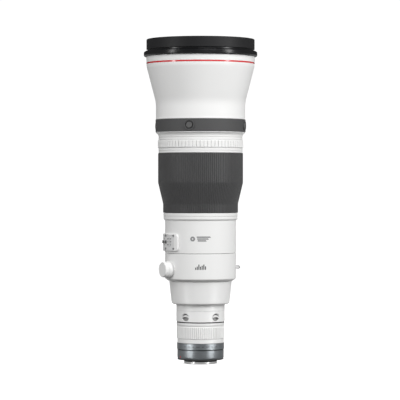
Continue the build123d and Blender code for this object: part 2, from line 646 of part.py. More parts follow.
CONTROL_RIB_BASE_Z = 30.6
CONTROL_RIB_TOP_Z = 48.1
with BuildPart() as control_ring:
    with BuildSketch(Plane.XY.offset(CONTROL_RIB_BASE_Z)):
        add(gear_outline(35.6, CONTROL_BORE_R, CONTROL_RIBS, 1.6, 0.8))
    extrude(amount=CONTROL_RIB_TOP_Z - CONTROL_RIB_BASE_Z)
    revolve(band(CONTROL_BORE_R, 34.6, CONTROL_BASE_Z, CONTROL_RIB_BASE_Z), axis=Axis.Z)
    revolve(section(
        (CONTROL_BORE_R, CONTROL_RIB_TOP_Z), (34.8, CONTROL_RIB_TOP_Z), (35.8, 51),
        (35.8, CONTROL_TOP_Z), (CONTROL_BORE_R, CONTROL_TOP_Z),
    ), axis=Axis.Z)
save(control_ring.part, "control_ring")

# ---- mount -------------------------------------------------------------------------------
with BuildPart() as mount_collar:
    revolve(section(
        (MOUNT_BORE_R, FLANGE_THICKNESS), (33.2, FLANGE_THICKNESS), (33.2, MOUNT_BASE_Z),
        (34.45, MOUNT_BASE_Z), (34.45, MOUNT_GROOVE_Z), (33.9, MOUNT_GROOVE_Z),
        (33.9, MOUNT_GROOVE_Z + 0.9), (MOUNT_R, MOUNT_GROOVE_Z + 1.1), (MOUNT_R, MOUNT_TOP_Z),
        (MOUNT_BORE_R, MOUNT_TOP_Z),
    ), axis=Axis.Z)
    with BuildSketch(Plane.XY.offset(FLANGE_THICKNESS)):
        with PolarLocations(MOUNT_SCREW_CIRCLE_R, 4, start_angle=45):
            Circle(0.8)
    extrude(amount=5, mode=Mode.SUBTRACT)
save(mount_collar.part, "mount_collar")

with BuildPart() as mount_seal:
    revolve(section(
        (33.2, -0.9), (34.0, -1.0), (34.4, MOUNT_BASE_Z), (33.2, MOUNT_BASE_Z),
    ), axis=Axis.Z)
save(mount_seal.part, "mount_seal")

with BuildPart() as bayonet:
    revolve(section(
        (SPIGOT_BORE_R, -SPIGOT_DEPTH), (SPIGOT_R, -SPIGOT_DEPTH), (SPIGOT_R, 0), (FLANGE_R, 0),
        (FLANGE_R, FLANGE_THICKNESS), (SPIGOT_BORE_R, FLANGE_THICKNESS),
    ), axis=Axis.Z)
    with BuildSketch(Plane.XY.offset(-SPIGOT_DEPTH)):
        with PolarLocations(0, 3, start_angle=90):
            with Locations((20, 0)):
                Rectangle(20, 26)
        Circle(CLAW_R, mode=Mode.INTERSECT)
        Circle(SPIGOT_R - 0.5, mode=Mode.SUBTRACT)
    extrude(amount=2.1)
    with BuildSketch(Plane.XY):
        with PolarLocations(MOUNT_SCREW_CIRCLE_R, 4, start_angle=45):
            Circle(0.95)
    extrude(amount=FLANGE_THICKNESS, mode=Mode.SUBTRACT)
    with BuildSketch(Plane.XY):
        with PolarLocations(MOUNT_SCREW_CIRCLE_R, 4, start_angle=45):
            Circle(1.7)
    extrude(amount=0.8, taper=45, mode=Mode.SUBTRACT)
save(bayonet.part, "bayonet")

with BuildPart() as mount_screws:
    with BuildSketch(Plane.XY.offset(0.1)):
        with PolarLocations(MOUNT_SCREW_CIRCLE_R, 4, start_angle=45):
            Circle(1.55)
    extrude(amount=0.7, taper=45)
    with BuildSketch(Plane.XY.offset(0.1)):
        with PolarLocations(MOUNT_SCREW_CIRCLE_R, 4, start_angle=45):
            Circle(0.8)
    extrude(amount=6)
    with BuildSketch(Plane.XY.offset(0.1)):
        with PolarLocations(MOUNT_SCREW_CIRCLE_R, 4, start_angle=45):
            Rectangle(1.8, 0.36)
            Rectangle(0.36, 1.8)
    extrude(amount=0.4, mode=Mode.SUBTRACT)
save(mount_screws.part, "mount_screws")

CONTACT_ARC_R = 19.6
with BuildPart() as contact_block:
    with BuildSketch(Plane.XY.offset(-SPIGOT_DEPTH + 0.6)):
        Circle(SPIGOT_BORE_R)
        Circle(17.8, mode=Mode.SUBTRACT)
        with Locations((0, 20)):
            Rectangle(25, 14, mode=Mode.INTERSECT)
    extrude(amount=SPIGOT_DEPTH + FLANGE_THICKNESS - 0.6)
save(contact_block.part, "contact_block")

with BuildPart() as contact_pins:
    with BuildSketch(Plane.XY.offset(-SPIGOT_DEPTH + 0.2)):
        for step in range(12):
            with PolarLocations(CONTACT_ARC_R, 1, start_angle=90 + (step - 5.5) * 5.2):
                Circle(0.5)
    extrude(amount=0.4)
save(contact_pins.part, "contact_pins")

# ---- glass and moving groups inside ------------------------------------------------------
with BuildPart() as rear_lens_cell:
    revolve(section(
        (22.0, 14), (MOUNT_BORE_R, 14), (MOUNT_BORE_R, MOUNT_TOP_Z), (REAR_BORE_R, MOUNT_TOP_Z),
        (REAR_BORE_R, 52), (26.0, 52), (26.0, 18), (22.0, 16),
    ), axis=Axis.Z)
save(rear_lens_cell.part, "rear_lens_cell")

with BuildPart() as rear_lenses:
    revolve(section((0, 23), (18, 24), (26, 24), (26, 30), (0, 32)), axis=Axis.Z)
    revolve(section((0, 38), (26, 41), (26, 46), (0, 46)), axis=Axis.Z)
save(rear_lenses.part, "rear_lenses")

CAM_STARTS = (90, 210, 330)    # angles of the three cam slots at infinity
CAM_STEPS = 14
cam_step_angle = 1.04 * CAM_TURN / CAM_STEPS
cam_step_height = 1.04 * CELL_TRAVEL / CAM_STEPS
cam_step_length = CAM_R * radians(cam_step_angle)
cam_slope = degrees(atan2(cam_step_height, cam_step_length))
with BuildPart() as focus_cam_ring:
    revolve(band(CAM_BORE_R, CAM_R, CAM_BASE_Z, CAM_TOP_Z), axis=Axis.Z)
    for start in CAM_STARTS:
        for step in range(CAM_STEPS):
            angle = start + 0.02 * CAM_TURN - (step + 0.5) * cam_step_angle
            height = CELL_Z + 0.02 * CELL_TRAVEL - (step + 0.5) * cam_step_height
            with BuildSketch(radial_plane(angle + 90, CAM_BORE_R - 2, height)):
                SlotCenterToCenter(cam_step_length, 2 * PIN_R + 1, rotation=cam_slope)
            extrude(amount=8, mode=Mode.SUBTRACT)
save(focus_cam_ring.part, "focus_cam_ring")

with BuildPart() as focus_lens_cell:
    revolve(band(40.0, CELL_R, CELL_Z - 6, CELL_Z + 6), axis=Axis.Z)
    for angle in CAM_STARTS:
        with BuildSketch(radial_plane(angle + 90, 42, CELL_Z)):
            Circle(PIN_R)
        extrude(amount=50.3 - 42)
save(focus_lens_cell.part, "focus_lens_cell")

with BuildPart() as focus_lens:
    revolve(section((0, CELL_Z - 3), (40, CELL_Z - 5), (40, CELL_Z + 3), (0, CELL_Z + 5)), axis=Axis.Z)
save(focus_lens.part, "focus_lens")

with BuildPart() as stabiliser_carriage:
    with BuildSketch(Plane.XY.offset(STABILISER_Z - 3)):
        Circle(41.0)
        RectangleRounded(56, 58, 26, mode=Mode.SUBTRACT)
    extrude(amount=6)
save(stabiliser_carriage.part, "stabiliser_carriage")

with BuildPart() as stabiliser_lens:
    revolve(section((0, STABILISER_Z - 2), (27, STABILISER_Z - 3), (27, STABILISER_Z + 3),
                    (0, STABILISER_Z + 4)), axis=Axis.Z)
save(stabiliser_lens.part, "stabiliser_lens")
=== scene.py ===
"""Looks of the super telephoto camera lens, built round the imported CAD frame.

The optical axis is Z, -Y is the top side of the lens and +Y the side with the foot.
Every size below is in millimetres; helpers turn it into metres. An azimuth is measured
round the axis from -Y, positive towards +X, as in the CAD model.
"""
import json
import math
from types import SimpleNamespace

import bmesh
import bpy
from mathutils import Matrix, Vector

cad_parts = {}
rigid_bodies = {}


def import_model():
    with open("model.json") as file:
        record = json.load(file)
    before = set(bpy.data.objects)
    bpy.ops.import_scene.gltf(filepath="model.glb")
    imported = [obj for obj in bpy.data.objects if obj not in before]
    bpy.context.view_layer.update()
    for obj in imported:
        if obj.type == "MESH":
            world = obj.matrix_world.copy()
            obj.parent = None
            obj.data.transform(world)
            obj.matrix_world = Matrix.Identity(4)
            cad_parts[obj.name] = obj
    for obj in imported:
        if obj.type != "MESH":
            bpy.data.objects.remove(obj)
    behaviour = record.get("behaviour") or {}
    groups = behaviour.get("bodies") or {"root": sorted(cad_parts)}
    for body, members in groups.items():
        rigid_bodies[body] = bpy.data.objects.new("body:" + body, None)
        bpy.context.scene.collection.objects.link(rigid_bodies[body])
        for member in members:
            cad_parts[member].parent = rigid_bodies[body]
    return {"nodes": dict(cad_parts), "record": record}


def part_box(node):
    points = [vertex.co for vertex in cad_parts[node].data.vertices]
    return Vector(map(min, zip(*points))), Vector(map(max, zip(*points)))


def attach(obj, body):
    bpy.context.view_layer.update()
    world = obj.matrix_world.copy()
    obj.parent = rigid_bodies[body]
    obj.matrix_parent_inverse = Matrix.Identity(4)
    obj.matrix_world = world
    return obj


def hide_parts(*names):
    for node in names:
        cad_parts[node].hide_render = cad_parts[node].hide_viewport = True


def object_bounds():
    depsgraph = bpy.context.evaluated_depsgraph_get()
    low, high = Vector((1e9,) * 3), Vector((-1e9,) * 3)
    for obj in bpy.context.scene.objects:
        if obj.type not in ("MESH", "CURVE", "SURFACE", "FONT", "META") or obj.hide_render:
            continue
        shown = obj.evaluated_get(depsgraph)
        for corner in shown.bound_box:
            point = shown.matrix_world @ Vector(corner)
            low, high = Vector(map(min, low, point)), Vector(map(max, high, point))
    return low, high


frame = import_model()
cad_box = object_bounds()

MM = 0.001
TURN = 2 * math.pi
SEGMENTS = 240                 # facets round a barrel
SWITCH_R = 52.5                # radius of the switch barrel and the tripod collar
EYELET_AZIMUTHS = (-39.4, 39.4)
AXIS = Matrix.Rotation(-math.pi / 2, 4, "Z")       # Z along the optical axis, X to -Y, where azimuths start
TO_TOP = Matrix.Rotation(math.pi / 2, 4, "X")      # Z to the top side, Y to the front
TO_FOOT = Matrix.Rotation(-math.pi / 2, 4, "X")    # Z to the foot's side, Y to the mount
FILL_FRONT = 0.76              # light of the studio in front of the lens
FILL_BACK = 0.20               # and behind it
GLOSS_FILL = 0.28              # what polished surfaces see of the studio
GLOSS_BACK = 0.05              # and of its dark end behind the lens
STRIP_RIGHT = 13.5             # watts
STRIP_LEFT = 8.6
FRONT_BOX = 7.7
BACK_BOX = 16.0
LOW_SHEEN = 0.115              # small strips beside the mount, seen only as highlights on metal


# ---- places read from the frame ----------------------------------------------------------
def box_of(node):
    """Lowest and highest corner of a CAD node, in millimetres."""
    return [[value / MM for value in corner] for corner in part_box(node)]


def span(node):
    """Half width (the outer radius of a turned node) and height range of a CAD node."""
    low, high = box_of(node)
    return SimpleNamespace(r=(high[0] - low[0]) / 2, base=low[2], top=high[2])


def centre(node):
    """Middle of a CAD node's box, in millimetres."""
    return Vector([sum(pair) / 2 for pair in zip(*box_of(node))])


def azimuth_of(node):
    """Azimuth of a CAD node that sits on the side of the barrel, in degrees."""
    middle = centre(node)
    return math.degrees(math.atan2(middle.x, -middle.y))


# ---- mesh helpers ------------------------------------------------------------------------
def new_object(name, mesh_maker, materials, body, node=None, sharp=32):
    """Smooth object from a bmesh, riding on a body. It stands for a CAD node, which it hides, or for a
    piece of its own.
    """
    mesh = bpy.data.meshes.new(name)
    bmesh.ops.recalc_face_normals(mesh_maker, faces=mesh_maker.faces)
    mesh_maker.to_mesh(mesh)
    mesh_maker.free()
    for material in materials:
        mesh.materials.append(material)
    mesh.shade_smooth()
    mesh.set_sharp_from_angle(angle=math.radians(sharp))
    piece = bpy.data.objects.new(name, mesh)
    bpy.context.scene.collection.objects.link(piece)
    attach(piece, body)
    if node:
        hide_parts(node)
    return piece


def round_corner(before, corner, after, radius):
    """Points of the arc that replaces a corner of an outline."""
    here = Vector(corner[:2])
    to_before = Vector(before[:2]) - here
    to_after = Vector(after[:2]) - here
    half = to_before.angle(to_after) / 2
    if radius <= 0 or half > math.radians(89.5):
        return [tuple(here)]
    reach = min(radius / math.tan(half), 0.49 * to_before.length, 0.49 * to_after.length)
    radius = reach * math.tan(half)
    middle = here + (to_before.normalized() + to_after.normalized()).normalized() * radius / math.sin(half)
    start = here + to_before.normalized() * reach - middle
    sweep = start.angle_signed(here + to_after.normalized() * reach - middle)
    steps = max(2, min(24, round(abs(sweep) * math.sqrt(radius) * 3)))
    arc = []
    for i in range(steps + 1):
        spot = start.copy()
        spot.rotate(Matrix.Rotation(-sweep * i / steps, 2))
        arc.append(tuple(middle + spot))
    return arc


def smooth_outline(corners):
    """Outline from corners (radius, height, fillet, material, rib depth), the last three at will."""
    outline = []
    for i, corner in enumerate(corners):
        fillet, paint, rib = (tuple(corner[2:]) + (0, 0, 0))[:3]
        arc = round_corner(corners[i - 1], corner, corners[(i + 1) % len(corners)], fillet)
        outline += [(r, z, rib, paint) for r, z in arc]
    return outline


def even_angles(count=SEGMENTS):
    return [(TURN * i / count, 0.0) for i in range(count)]


def even_steps(first, last, count):
    return [first + (last - first) * i / (count - 1) for i in range(count)]


def rib_angles(count, shape):
    """Angles round a ribbed ring; shape lists (share of one pitch, share of the rib depth cut away)."""
    return [(TURN * (i + share) / count, cut) for i in range(count) for share, cut in shape]


def lathe_mesh(corners, angles=None, maker=None, full=True, groove_shade=None, place=AXIS):
    """Closed outline (radius, height) turned about the Z axis of a place, at first the optical axis.

    Ribs cut into corners that state a rib depth; the groove argument gives the material index of their
    floors, a darker paint that is painted shade.
    """
    outline = smooth_outline(corners)
    angles = angles or even_angles()
    maker = maker or bmesh.new()
    rings = []
    for angle, cut in angles:
        turn = place @ Matrix.Rotation(angle, 4, "Z")
        rings.append([maker.verts.new(turn @ Vector(((r - cut * rib) * MM, 0, z * MM)))
                      for r, z, rib, _ in outline])
    for i, ring in enumerate(rings if full else rings[:-1]):
        following = rings[(i + 1) % len(rings)]
        cut = min(angles[i][1], angles[(i + 1) % len(angles)][1])
        for j, (_, _, rib, paint) in enumerate(outline):
            k = (j + 1) % len(outline)
            face = maker.faces.new((ring[j], following[j], following[k], ring[k]))
            in_groove = groove_shade is not None and cut > 0.5 and rib and outline[k][2]
            face.material_index = groove_shade if in_groove else int(paint)
    if not full:
        maker.faces.new(rings[0])
        maker.faces.new(rings[-1])
    bmesh.ops.remove_doubles(maker, verts=maker.verts, dist=1e-7)
    return maker


def disc_mesh(corners, place, segments=48, maker=None):
    """Closed outline (radius, depth) turned about the Z axis of a place."""
    return lathe_mesh(corners, even_angles(segments), maker, place=place)


def radial_frame(azimuth, height, reach=0.0):
    """Matrix in metres whose Z looks outwards at an azimuth, X goes round the barrel and Y to the front."""
    turn = math.radians(azimuth)
    outward = Vector((math.sin(turn), -math.cos(turn), 0))
    around = Vector((math.cos(turn), math.sin(turn), 0))
    basis = Matrix((around, Vector((0, 0, 1)), outward)).transposed().to_4x4()
    return Matrix.Translation(outward * reach * MM + Vector((0, 0, height * MM))) @ basis


def node_frame(node, reach=0.0):
    """Radial frame at the middle of a CAD node."""
    return radial_frame(azimuth_of(node), centre(node).z, reach)


def patch_mesh(azimuth, height, width, length, corner, inner, outer, bevel, maker=None):
    """Rounded rectangle that follows the barrel between two radii, its outer edge bevelled.

    width is measured round the barrel at the outer radius, length along the axis.
    """
    maker = maker or bmesh.new()
    half_w, half_l = width / 2, length / 2
    corner = min(corner, half_w * 0.999, half_l * 0.999)
    columns = [(-half_w + corner * (1 - math.cos(math.pi / 2 * i / 8)),
                half_l - corner * (1 - math.sin(math.pi / 2 * i / 8))) for i in range(9)]
    plain = max(1, round((width - 2 * corner) / 1.5))
    columns += [(-half_w + corner + (width - 2 * corner) * i / plain, half_l) for i in range(1, plain)]
    columns += [(-x, y) for x, y in columns[8::-1]]
    bevel_steps = 4
    layers = [(0.0, inner)]
    for i in range(bevel_steps + 1):
        bend = math.pi / 2 * i / bevel_steps
        layers.append((bevel * (1 - math.cos(bend)), outer - bevel * (1 - math.sin(bend))))

    def spot(x, y, radius):
        turn = math.radians(azimuth) + x / outer
        return maker.verts.new(Vector((radius * math.sin(turn), -radius * math.cos(turn), height + y)) * MM)

    loops = []
    for inset, radius in layers:
        shrink_x = (half_w - inset) / half_w
        shrink_y = (half_l - inset) / half_l
        upper = [spot(x * shrink_x, y * shrink_y, radius) for x, y in columns]
        lower = [spot(x * shrink_x, -y * shrink_y, radius) for x, y in columns]
        loops.append((upper, lower))
    for (upper, lower), (next_upper, next_lower) in zip(loops, loops[1:]):
        ring = upper + lower[::-1]
        next_ring = next_upper + next_lower[::-1]
        for i in range(len(ring)):
            k = (i + 1) % len(ring)
            maker.faces.new((ring[i], ring[k], next_ring[k], next_ring[i]))
    for upper, lower in (loops[0], loops[-1]):
        for i in range(len(upper) - 1):
            maker.faces.new((upper[i], upper[i + 1], lower[i + 1], lower[i]))
    bmesh.ops.remove_doubles(maker, verts=maker.verts, dist=1e-7)
    return maker


def prism_mesh(corners, start, end, place, maker=None):
    """Outline (x, y, fillet) in a place's XY plane, extruded along its Z from start to end."""
    outline = [(x, y) for x, y, _, _ in smooth_outline(corners)]
    maker = maker or bmesh.new()
    bottom = [maker.verts.new(place @ Vector((x * MM, y * MM, start * MM))) for x, y in outline]
    top = [maker.verts.new(place @ Vector((x * MM, y * MM, end * MM))) for x, y in outline]
    maker.faces.new(bottom)
    maker.faces.new(top)
    for i in range(len(outline)):
        k = (i + 1) % len(outline)
        maker.faces.new((bottom[i], bottom[k], top[k], top[i]))
    return maker


def rectangle(width, height, fillet=0.0, x=0.0, y=0.0):
    """Corners of a rounded rectangle about a middle point."""
    return [(x - width / 2, y - height / 2, fillet), (x + width / 2, y - height / 2, fillet),
            (x + width / 2, y + height / 2, fillet), (x - width / 2, y + height / 2, fillet)]


def flat_box(width, height, x=0.0, y=0.0):
    """Corners of a plain rectangle about a middle point."""
    return [point[:2] for point in rectangle(width, height, 0, x, y)]


def circle_points(radius, x=0.0, y=0.0, count=24, start=0.0, sweep=360.0):
    """Points of an arc, in degrees from the x axis; a whole circle leaves out its last point."""
    steps = count if sweep >= 360 else count - 1
    return [(x + radius * math.cos(math.radians(start + sweep * i / steps)),
             y + radius * math.sin(math.radians(start + sweep * i / steps))) for i in range(count)]


def wrapped_mesh(shapes, azimuth, height, inner, outer):
    """Flat shapes (lists of x, y) laid round the barrel as thin inlays between two radii."""
    step = 1.2
    maker = bmesh.new()
    for shape in shapes:
        maker.faces.new([maker.verts.new((x, y, 0)) for x, y in shape])
    reach = max(abs(vert.co.x) for vert in maker.verts)
    cuts = math.ceil(reach / step)
    for i in range(-cuts, cuts + 1):
        geometry = maker.verts[:] + maker.edges[:] + maker.faces[:]
        bmesh.ops.bisect_plane(maker, geom=geometry, plane_co=(i * step, 0, 0), plane_no=(1, 0, 0))
    grown = bmesh.ops.extrude_face_region(maker, geom=maker.faces[:])
    raised = {item for item in grown["geom"] if isinstance(item, bmesh.types.BMVert)}
    for vert in maker.verts:
        radius = outer if vert in raised else inner
        turn = math.radians(azimuth) + vert.co.x / outer
        vert.co = Vector((radius * math.sin(turn), -radius * math.cos(turn), height + vert.co.y)) * MM
    return maker


def tube_mesh(points, radius, sides=16):
    """Round bar bent into a closed loop through points in millimetres."""
    maker = bmesh.new()
    rings = []
    count = len(points)
    for i, point in enumerate(points):
        along = (Vector(points[(i + 1) % count]) - Vector(points[i - 1])).normalized()
        side = along.cross(Vector((0, 1, 0))).normalized()
        other = along.cross(side)
        rings.append([
            maker.verts.new((Vector(point) + (side * math.cos(TURN * j / sides)
                                              + other * math.sin(TURN * j / sides)) * radius) * MM)
            for j in range(sides)
        ])
    for i, ring in enumerate(rings):
        following = rings[(i + 1) % count]
        for j in range(sides):
            k = (j + 1) % sides
            maker.faces.new((ring[j], ring[k], following[k], following[j]))
    return maker


def box_mesh(size, place, maker=None):
    """Box centred on a place; size in millimetres. Used for cutters and as a base for bevelled pieces."""
    maker = maker or bmesh.new()
    matrix = place @ Matrix.Diagonal(Vector(size) * MM).to_4x4()
    bmesh.ops.create_cube(maker, size=1.0, matrix=matrix)
    return maker


def carve(piece, cutter_maker):
    """Cuts the closed shapes of a bmesh out of a piece."""
    mesh = bpy.data.meshes.new("cutter")
    bmesh.ops.recalc_face_normals(cutter_maker, faces=cutter_maker.faces)
    cutter_maker.to_mesh(mesh)
    cutter_maker.free()
    cutter = bpy.data.objects.new("cutter", mesh)
    bpy.context.scene.collection.objects.link(cutter)
    modifier = piece.modifiers.new("carve", "BOOLEAN")
    modifier.operation = "DIFFERENCE"
    modifier.solver = "EXACT"
    modifier.object = cutter
    bpy.context.view_layer.update()
    result = bpy.data.meshes.new_from_object(piece.evaluated_get(bpy.context.evaluated_depsgraph_get()))
    piece.modifiers.clear()
    piece.data = result
    result.shade_smooth()
    result.set_sharp_from_angle(angle=math.radians(32))
    bpy.data.objects.remove(cutter)


def bevelled(piece, width, segments=3, angle=35):
    """Rounds a piece's hard edges."""
    bevel = piece.modifiers.new("edges", "BEVEL")
    bevel.width = width * MM
    bevel.segments = segments
    bevel.limit_method = "ANGLE"
    bevel.angle_limit = math.radians(angle)
    bevel.harden_normals = True
    return piece


# ---- materials ---------------------------------------------------------------------------
MIDDLE_RANGE = (0.3, 0.7)      # where nearly all values of a noise lie


def graph(name):
    """New node material and its shader, with object coordinates at hand."""
    material = bpy.data.materials.new(name)
    material.use_nodes = True
    nodes = material.node_tree.nodes
    shader = nodes["Principled BSDF"]
    coordinates = nodes.new("ShaderNodeTexCoord").outputs["Object"]
    return material, nodes, material.node_tree.links, shader, coordinates


def noise(nodes, links, coordinates, scale, detail=2.0):
    """Noise value; scale in features per metre."""
    texture = nodes.new("ShaderNodeTexNoise")
    texture.inputs["Scale"].default_value = scale
    texture.inputs["Detail"].default_value = detail
    texture.inputs["Roughness"].default_value = 0.5
    links.new(coordinates, texture.inputs["Vector"])
    return texture.outputs["Fac"]


def remap(nodes, links, value, source, result, target):
    """Maps a value from one range (low, high) to another and feeds it to a socket."""
    scale = nodes.new("ShaderNodeMapRange")
    for name, limit in zip(("From Min", "From Max", "To Min", "To Max"), (*source, *result)):
        scale.inputs[name].default_value = limit
    links.new(value, scale.inputs["Value"])
    links.new(scale.outputs["Result"], target)


def tint(nodes, links, value, dark, light, target):
    """Blends two colours, or two levels of grey, by a 0..1 value."""
    ramp = nodes.new("ShaderNodeValToRGB")
    for stop, place, colour in zip(ramp.color_ramp.elements, MIDDLE_RANGE, (dark, light)):
        stop.position = place
        stop.color = (*(colour if isinstance(colour, tuple) else 3 * (colour,)), 1)
    links.new(value, ramp.inputs["Fac"])
    links.new(ramp.outputs["Color"], target)


def bump(nodes, links, value, shader, depth_mm):
    """Fine relief from a 0..1 value."""
    relief = nodes.new("ShaderNodeBump")
    relief.inputs["Strength"].default_value = 1.0
    relief.inputs["Distance"].default_value = depth_mm * MM
    links.new(value, relief.inputs["Height"])
    links.new(relief.outputs["Normal"], shader.inputs["Normal"])


def surface(name, dark, light, rough, metal=0.0, grain=1500.0, depth=0.01, coat=0.0, specular=0.5,
            coat_rough=0.2):
    """Solid finish: a slow change of tone, a fine grain in roughness, and the same grain as relief."""
    material, nodes, links, shader, coordinates = graph(name)
    shader.inputs["Metallic"].default_value = metal
    shader.inputs["Specular IOR Level"].default_value = specular
    shader.inputs["Coat Weight"].default_value = coat
    shader.inputs["Coat Roughness"].default_value = coat_rough
    slow = noise(nodes, links, coordinates, 6.0, 3.0)
    fine = noise(nodes, links, coordinates, grain)
    tint(nodes, links, slow, dark, light, shader.inputs["Base Color"])
    remap(nodes, links, fine, MIDDLE_RANGE, rough, shader.inputs["Roughness"])
    if depth:
        bump(nodes, links, fine, shader, depth)
    return material


def turned_metal(name, dark, light, rough, pitch, depth, stretch=0.0):
    """Metal turned on a lathe: fine rings about the optical axis, which stretch its highlights."""
    material, nodes, links, shader, coordinates = graph(name)
    shader.inputs["Metallic"].default_value = 1.0
    shader.inputs["Anisotropic"].default_value = stretch
    split = nodes.new("ShaderNodeSeparateXYZ")
    links.new(coordinates, split.inputs["Vector"])
    flat = nodes.new("ShaderNodeCombineXYZ")
    links.new(split.outputs["X"], flat.inputs["X"])
    links.new(split.outputs["Y"], flat.inputs["Y"])
    length = nodes.new("ShaderNodeVectorMath")
    length.operation = "LENGTH"
    links.new(flat.outputs["Vector"], length.inputs[0])
    line = nodes.new("ShaderNodeCombineXYZ")
    links.new(length.outputs["Value"], line.inputs["X"])
    links.new(split.outputs["Z"], line.inputs["Y"])
    rings = noise(nodes, links, line.outputs["Vector"], 1000.0 / pitch)
    tint(nodes, links, rings, dark, light, shader.inputs["Base Color"])
    remap(nodes, links, rings, MIDDLE_RANGE, rough, shader.inputs["Roughness"])
    bump(nodes, links, rings, shader, depth)
    return material


def coated_glass(name, colour, coat_colour):
    """Lens glass with the coloured sheen of its anti-reflection coat."""
    material, nodes, links, shader, coordinates = graph(name)
    shader.inputs["Transmission Weight"].default_value = 1.0
    shader.inputs["IOR"].default_value = 1.52
    shader.inputs["Coat Weight"].default_value = 0.6
    shader.inputs["Coat Roughness"].default_value = 0.02
    shader.inputs["Coat Tint"].default_value = (*coat_colour, 1)
    slow = noise(nodes, links, coordinates, 12.0)
    tint(nodes, links, slow, colour, tuple(min(1, c * 1.03) for c in colour), shader.inputs["Base Color"])
    remap(nodes, links, slow, MIDDLE_RANGE, (0.0, 0.02), shader.inputs["Roughness"])
    return material


WHITE = surface("white_paint", (0.815, 0.815, 0.808), (0.835, 0.835, 0.828), (0.40, 0.50), grain=1800,
                depth=0.006, specular=0.45)
# Darker white on groove walls and floors: painted shade where the real white paint lies in shadow.
CREASE_SHADE = surface("white_paint_crease_shade", (0.50, 0.50, 0.49), (0.56, 0.56, 0.55), (0.5, 0.6), grain=1800)
# Mid grey in the strap eyelet pockets: painted shade in hollows that are white paint on the real lens.
POCKET_SHADE = surface("white_paint_pocket_shade", (0.28, 0.28, 0.275), (0.34, 0.34, 0.335), (0.5, 0.6), grain=1800)
# Light grey on the floors between the control ring's ribs: painted shade in the grooves.
SHADE = surface("white_paint_groove_shade", (0.62, 0.62, 0.61), (0.67, 0.67, 0.66), (0.45, 0.55), grain=1800)
BLACK = surface("black_paint", (0.008, 0.008, 0.009), (0.012, 0.012, 0.013), (0.46, 0.58), grain=2200,
                depth=0.004, specular=0.26)
GLOSS = surface("gloss_black_paint", (0.004, 0.004, 0.005), (0.006, 0.006, 0.007), (0.20, 0.28), grain=1200,
                depth=0.001, specular=0.32)
INSIDE = surface("matt_black_inside", 0.010, 0.014, (0.7, 0.85), grain=2500,
                 specular=0.2)
RED = surface("red_paint", (0.64, 0.030, 0.036), (0.70, 0.036, 0.042), (0.14, 0.20), depth=0.001, coat=0.5,
              coat_rough=0.1)
BELT = surface("belt_rubber", (0.060, 0.060, 0.061), (0.070, 0.070, 0.071), (0.55, 0.68), grain=2600,
               depth=0.02, specular=0.4)
GRIP = surface("grip_rubber", (0.047, 0.047, 0.048), (0.056, 0.056, 0.057), (0.36, 0.46), grain=2600,
               depth=0.01, specular=0.42)
SEAL = surface("seal_rubber", 0.018, 0.026, (0.5, 0.65), grain=2600, depth=0.02)
BUTTON = surface("button_plastic", (0.085, 0.085, 0.086), (0.10, 0.10, 0.10), (0.40, 0.52), grain=3200,
                 depth=0.02)
PLASTIC = surface("black_plastic", (0.026, 0.026, 0.027), (0.034, 0.034, 0.035), (0.42, 0.55), grain=3000,
                  depth=0.03)
PLATE = surface("plate_paint", 0.68, 0.72, (0.34, 0.44), grain=2400, depth=0.004)
GREY = turned_metal("mount_grey", (0.146, 0.158, 0.166), (0.170, 0.182, 0.190), (0.27, 0.36), 0.35, 0.008,
                    stretch=0.8)
CHROME = turned_metal("bayonet_chrome", (0.58, 0.58, 0.58), (0.68, 0.68, 0.67), (0.20, 0.30), 0.25, 0.003)
STEEL = surface("screw_steel", 0.40, 0.50, (0.22, 0.36), metal=1.0, grain=2500,
                depth=0.004)
DARK_METAL = turned_metal("inner_metal", (0.10, 0.10, 0.105), (0.14, 0.14, 0.145), (0.35, 0.5), 0.4, 0.004)
GOLD = surface("gold_contacts", (0.80, 0.58, 0.22), (0.90, 0.66, 0.28), (0.18, 0.30), metal=1.0, grain=2500)
BRASS = surface("brass", (0.66, 0.48, 0.22), (0.76, 0.57, 0.28), (0.25, 0.40), metal=1.0, grain=1500)
GLASS = coated_glass("coated_glass", (0.93, 0.97, 0.96), (0.45, 0.80, 0.62))
INK = surface("grey_ink", (0.21, 0.21, 0.215), (0.25, 0.25, 0.255), (0.45, 0.55), grain=2500, depth=0.002)
LOOP_METAL = surface("loop_metal", 0.30, 0.36, (0.34, 0.44), metal=0.6, grain=2000,
                     depth=0.003)
DARK_INK = surface("dark_ink", (0.050, 0.050, 0.052), (0.065, 0.065, 0.067), (0.45, 0.55), grain=2500,
                   depth=0.002)

CAD_FINISH = {
    "focus_ring": DARK_METAL, "collar_bearing": DARK_METAL, "focus_cam_ring": DARK_METAL,
    "front_retaining_ring": BLACK, "rear_lens_cell": INSIDE, "focus_lens_cell": INSIDE,
    "stabiliser_carriage": INSIDE, "clamp_shoe": BRASS, "drop_in_filter": GLASS, "rear_lenses": GLASS,
    "focus_lens": GLASS, "stabiliser_lens": GLASS, "contact_pins": GOLD, "contact_block": PLASTIC,
    "switch_plate_screws": STEEL, "foot_screws": STEEL, "mount_screws": STEEL, "knob_stud": STEEL,
}


def finish_cad_nodes():
    """Gives a node material to every CAD node whose shape is kept."""
    for node, material in CAD_FINISH.items():
        for slot in frame["nodes"][node].material_slots:
            slot.material = material


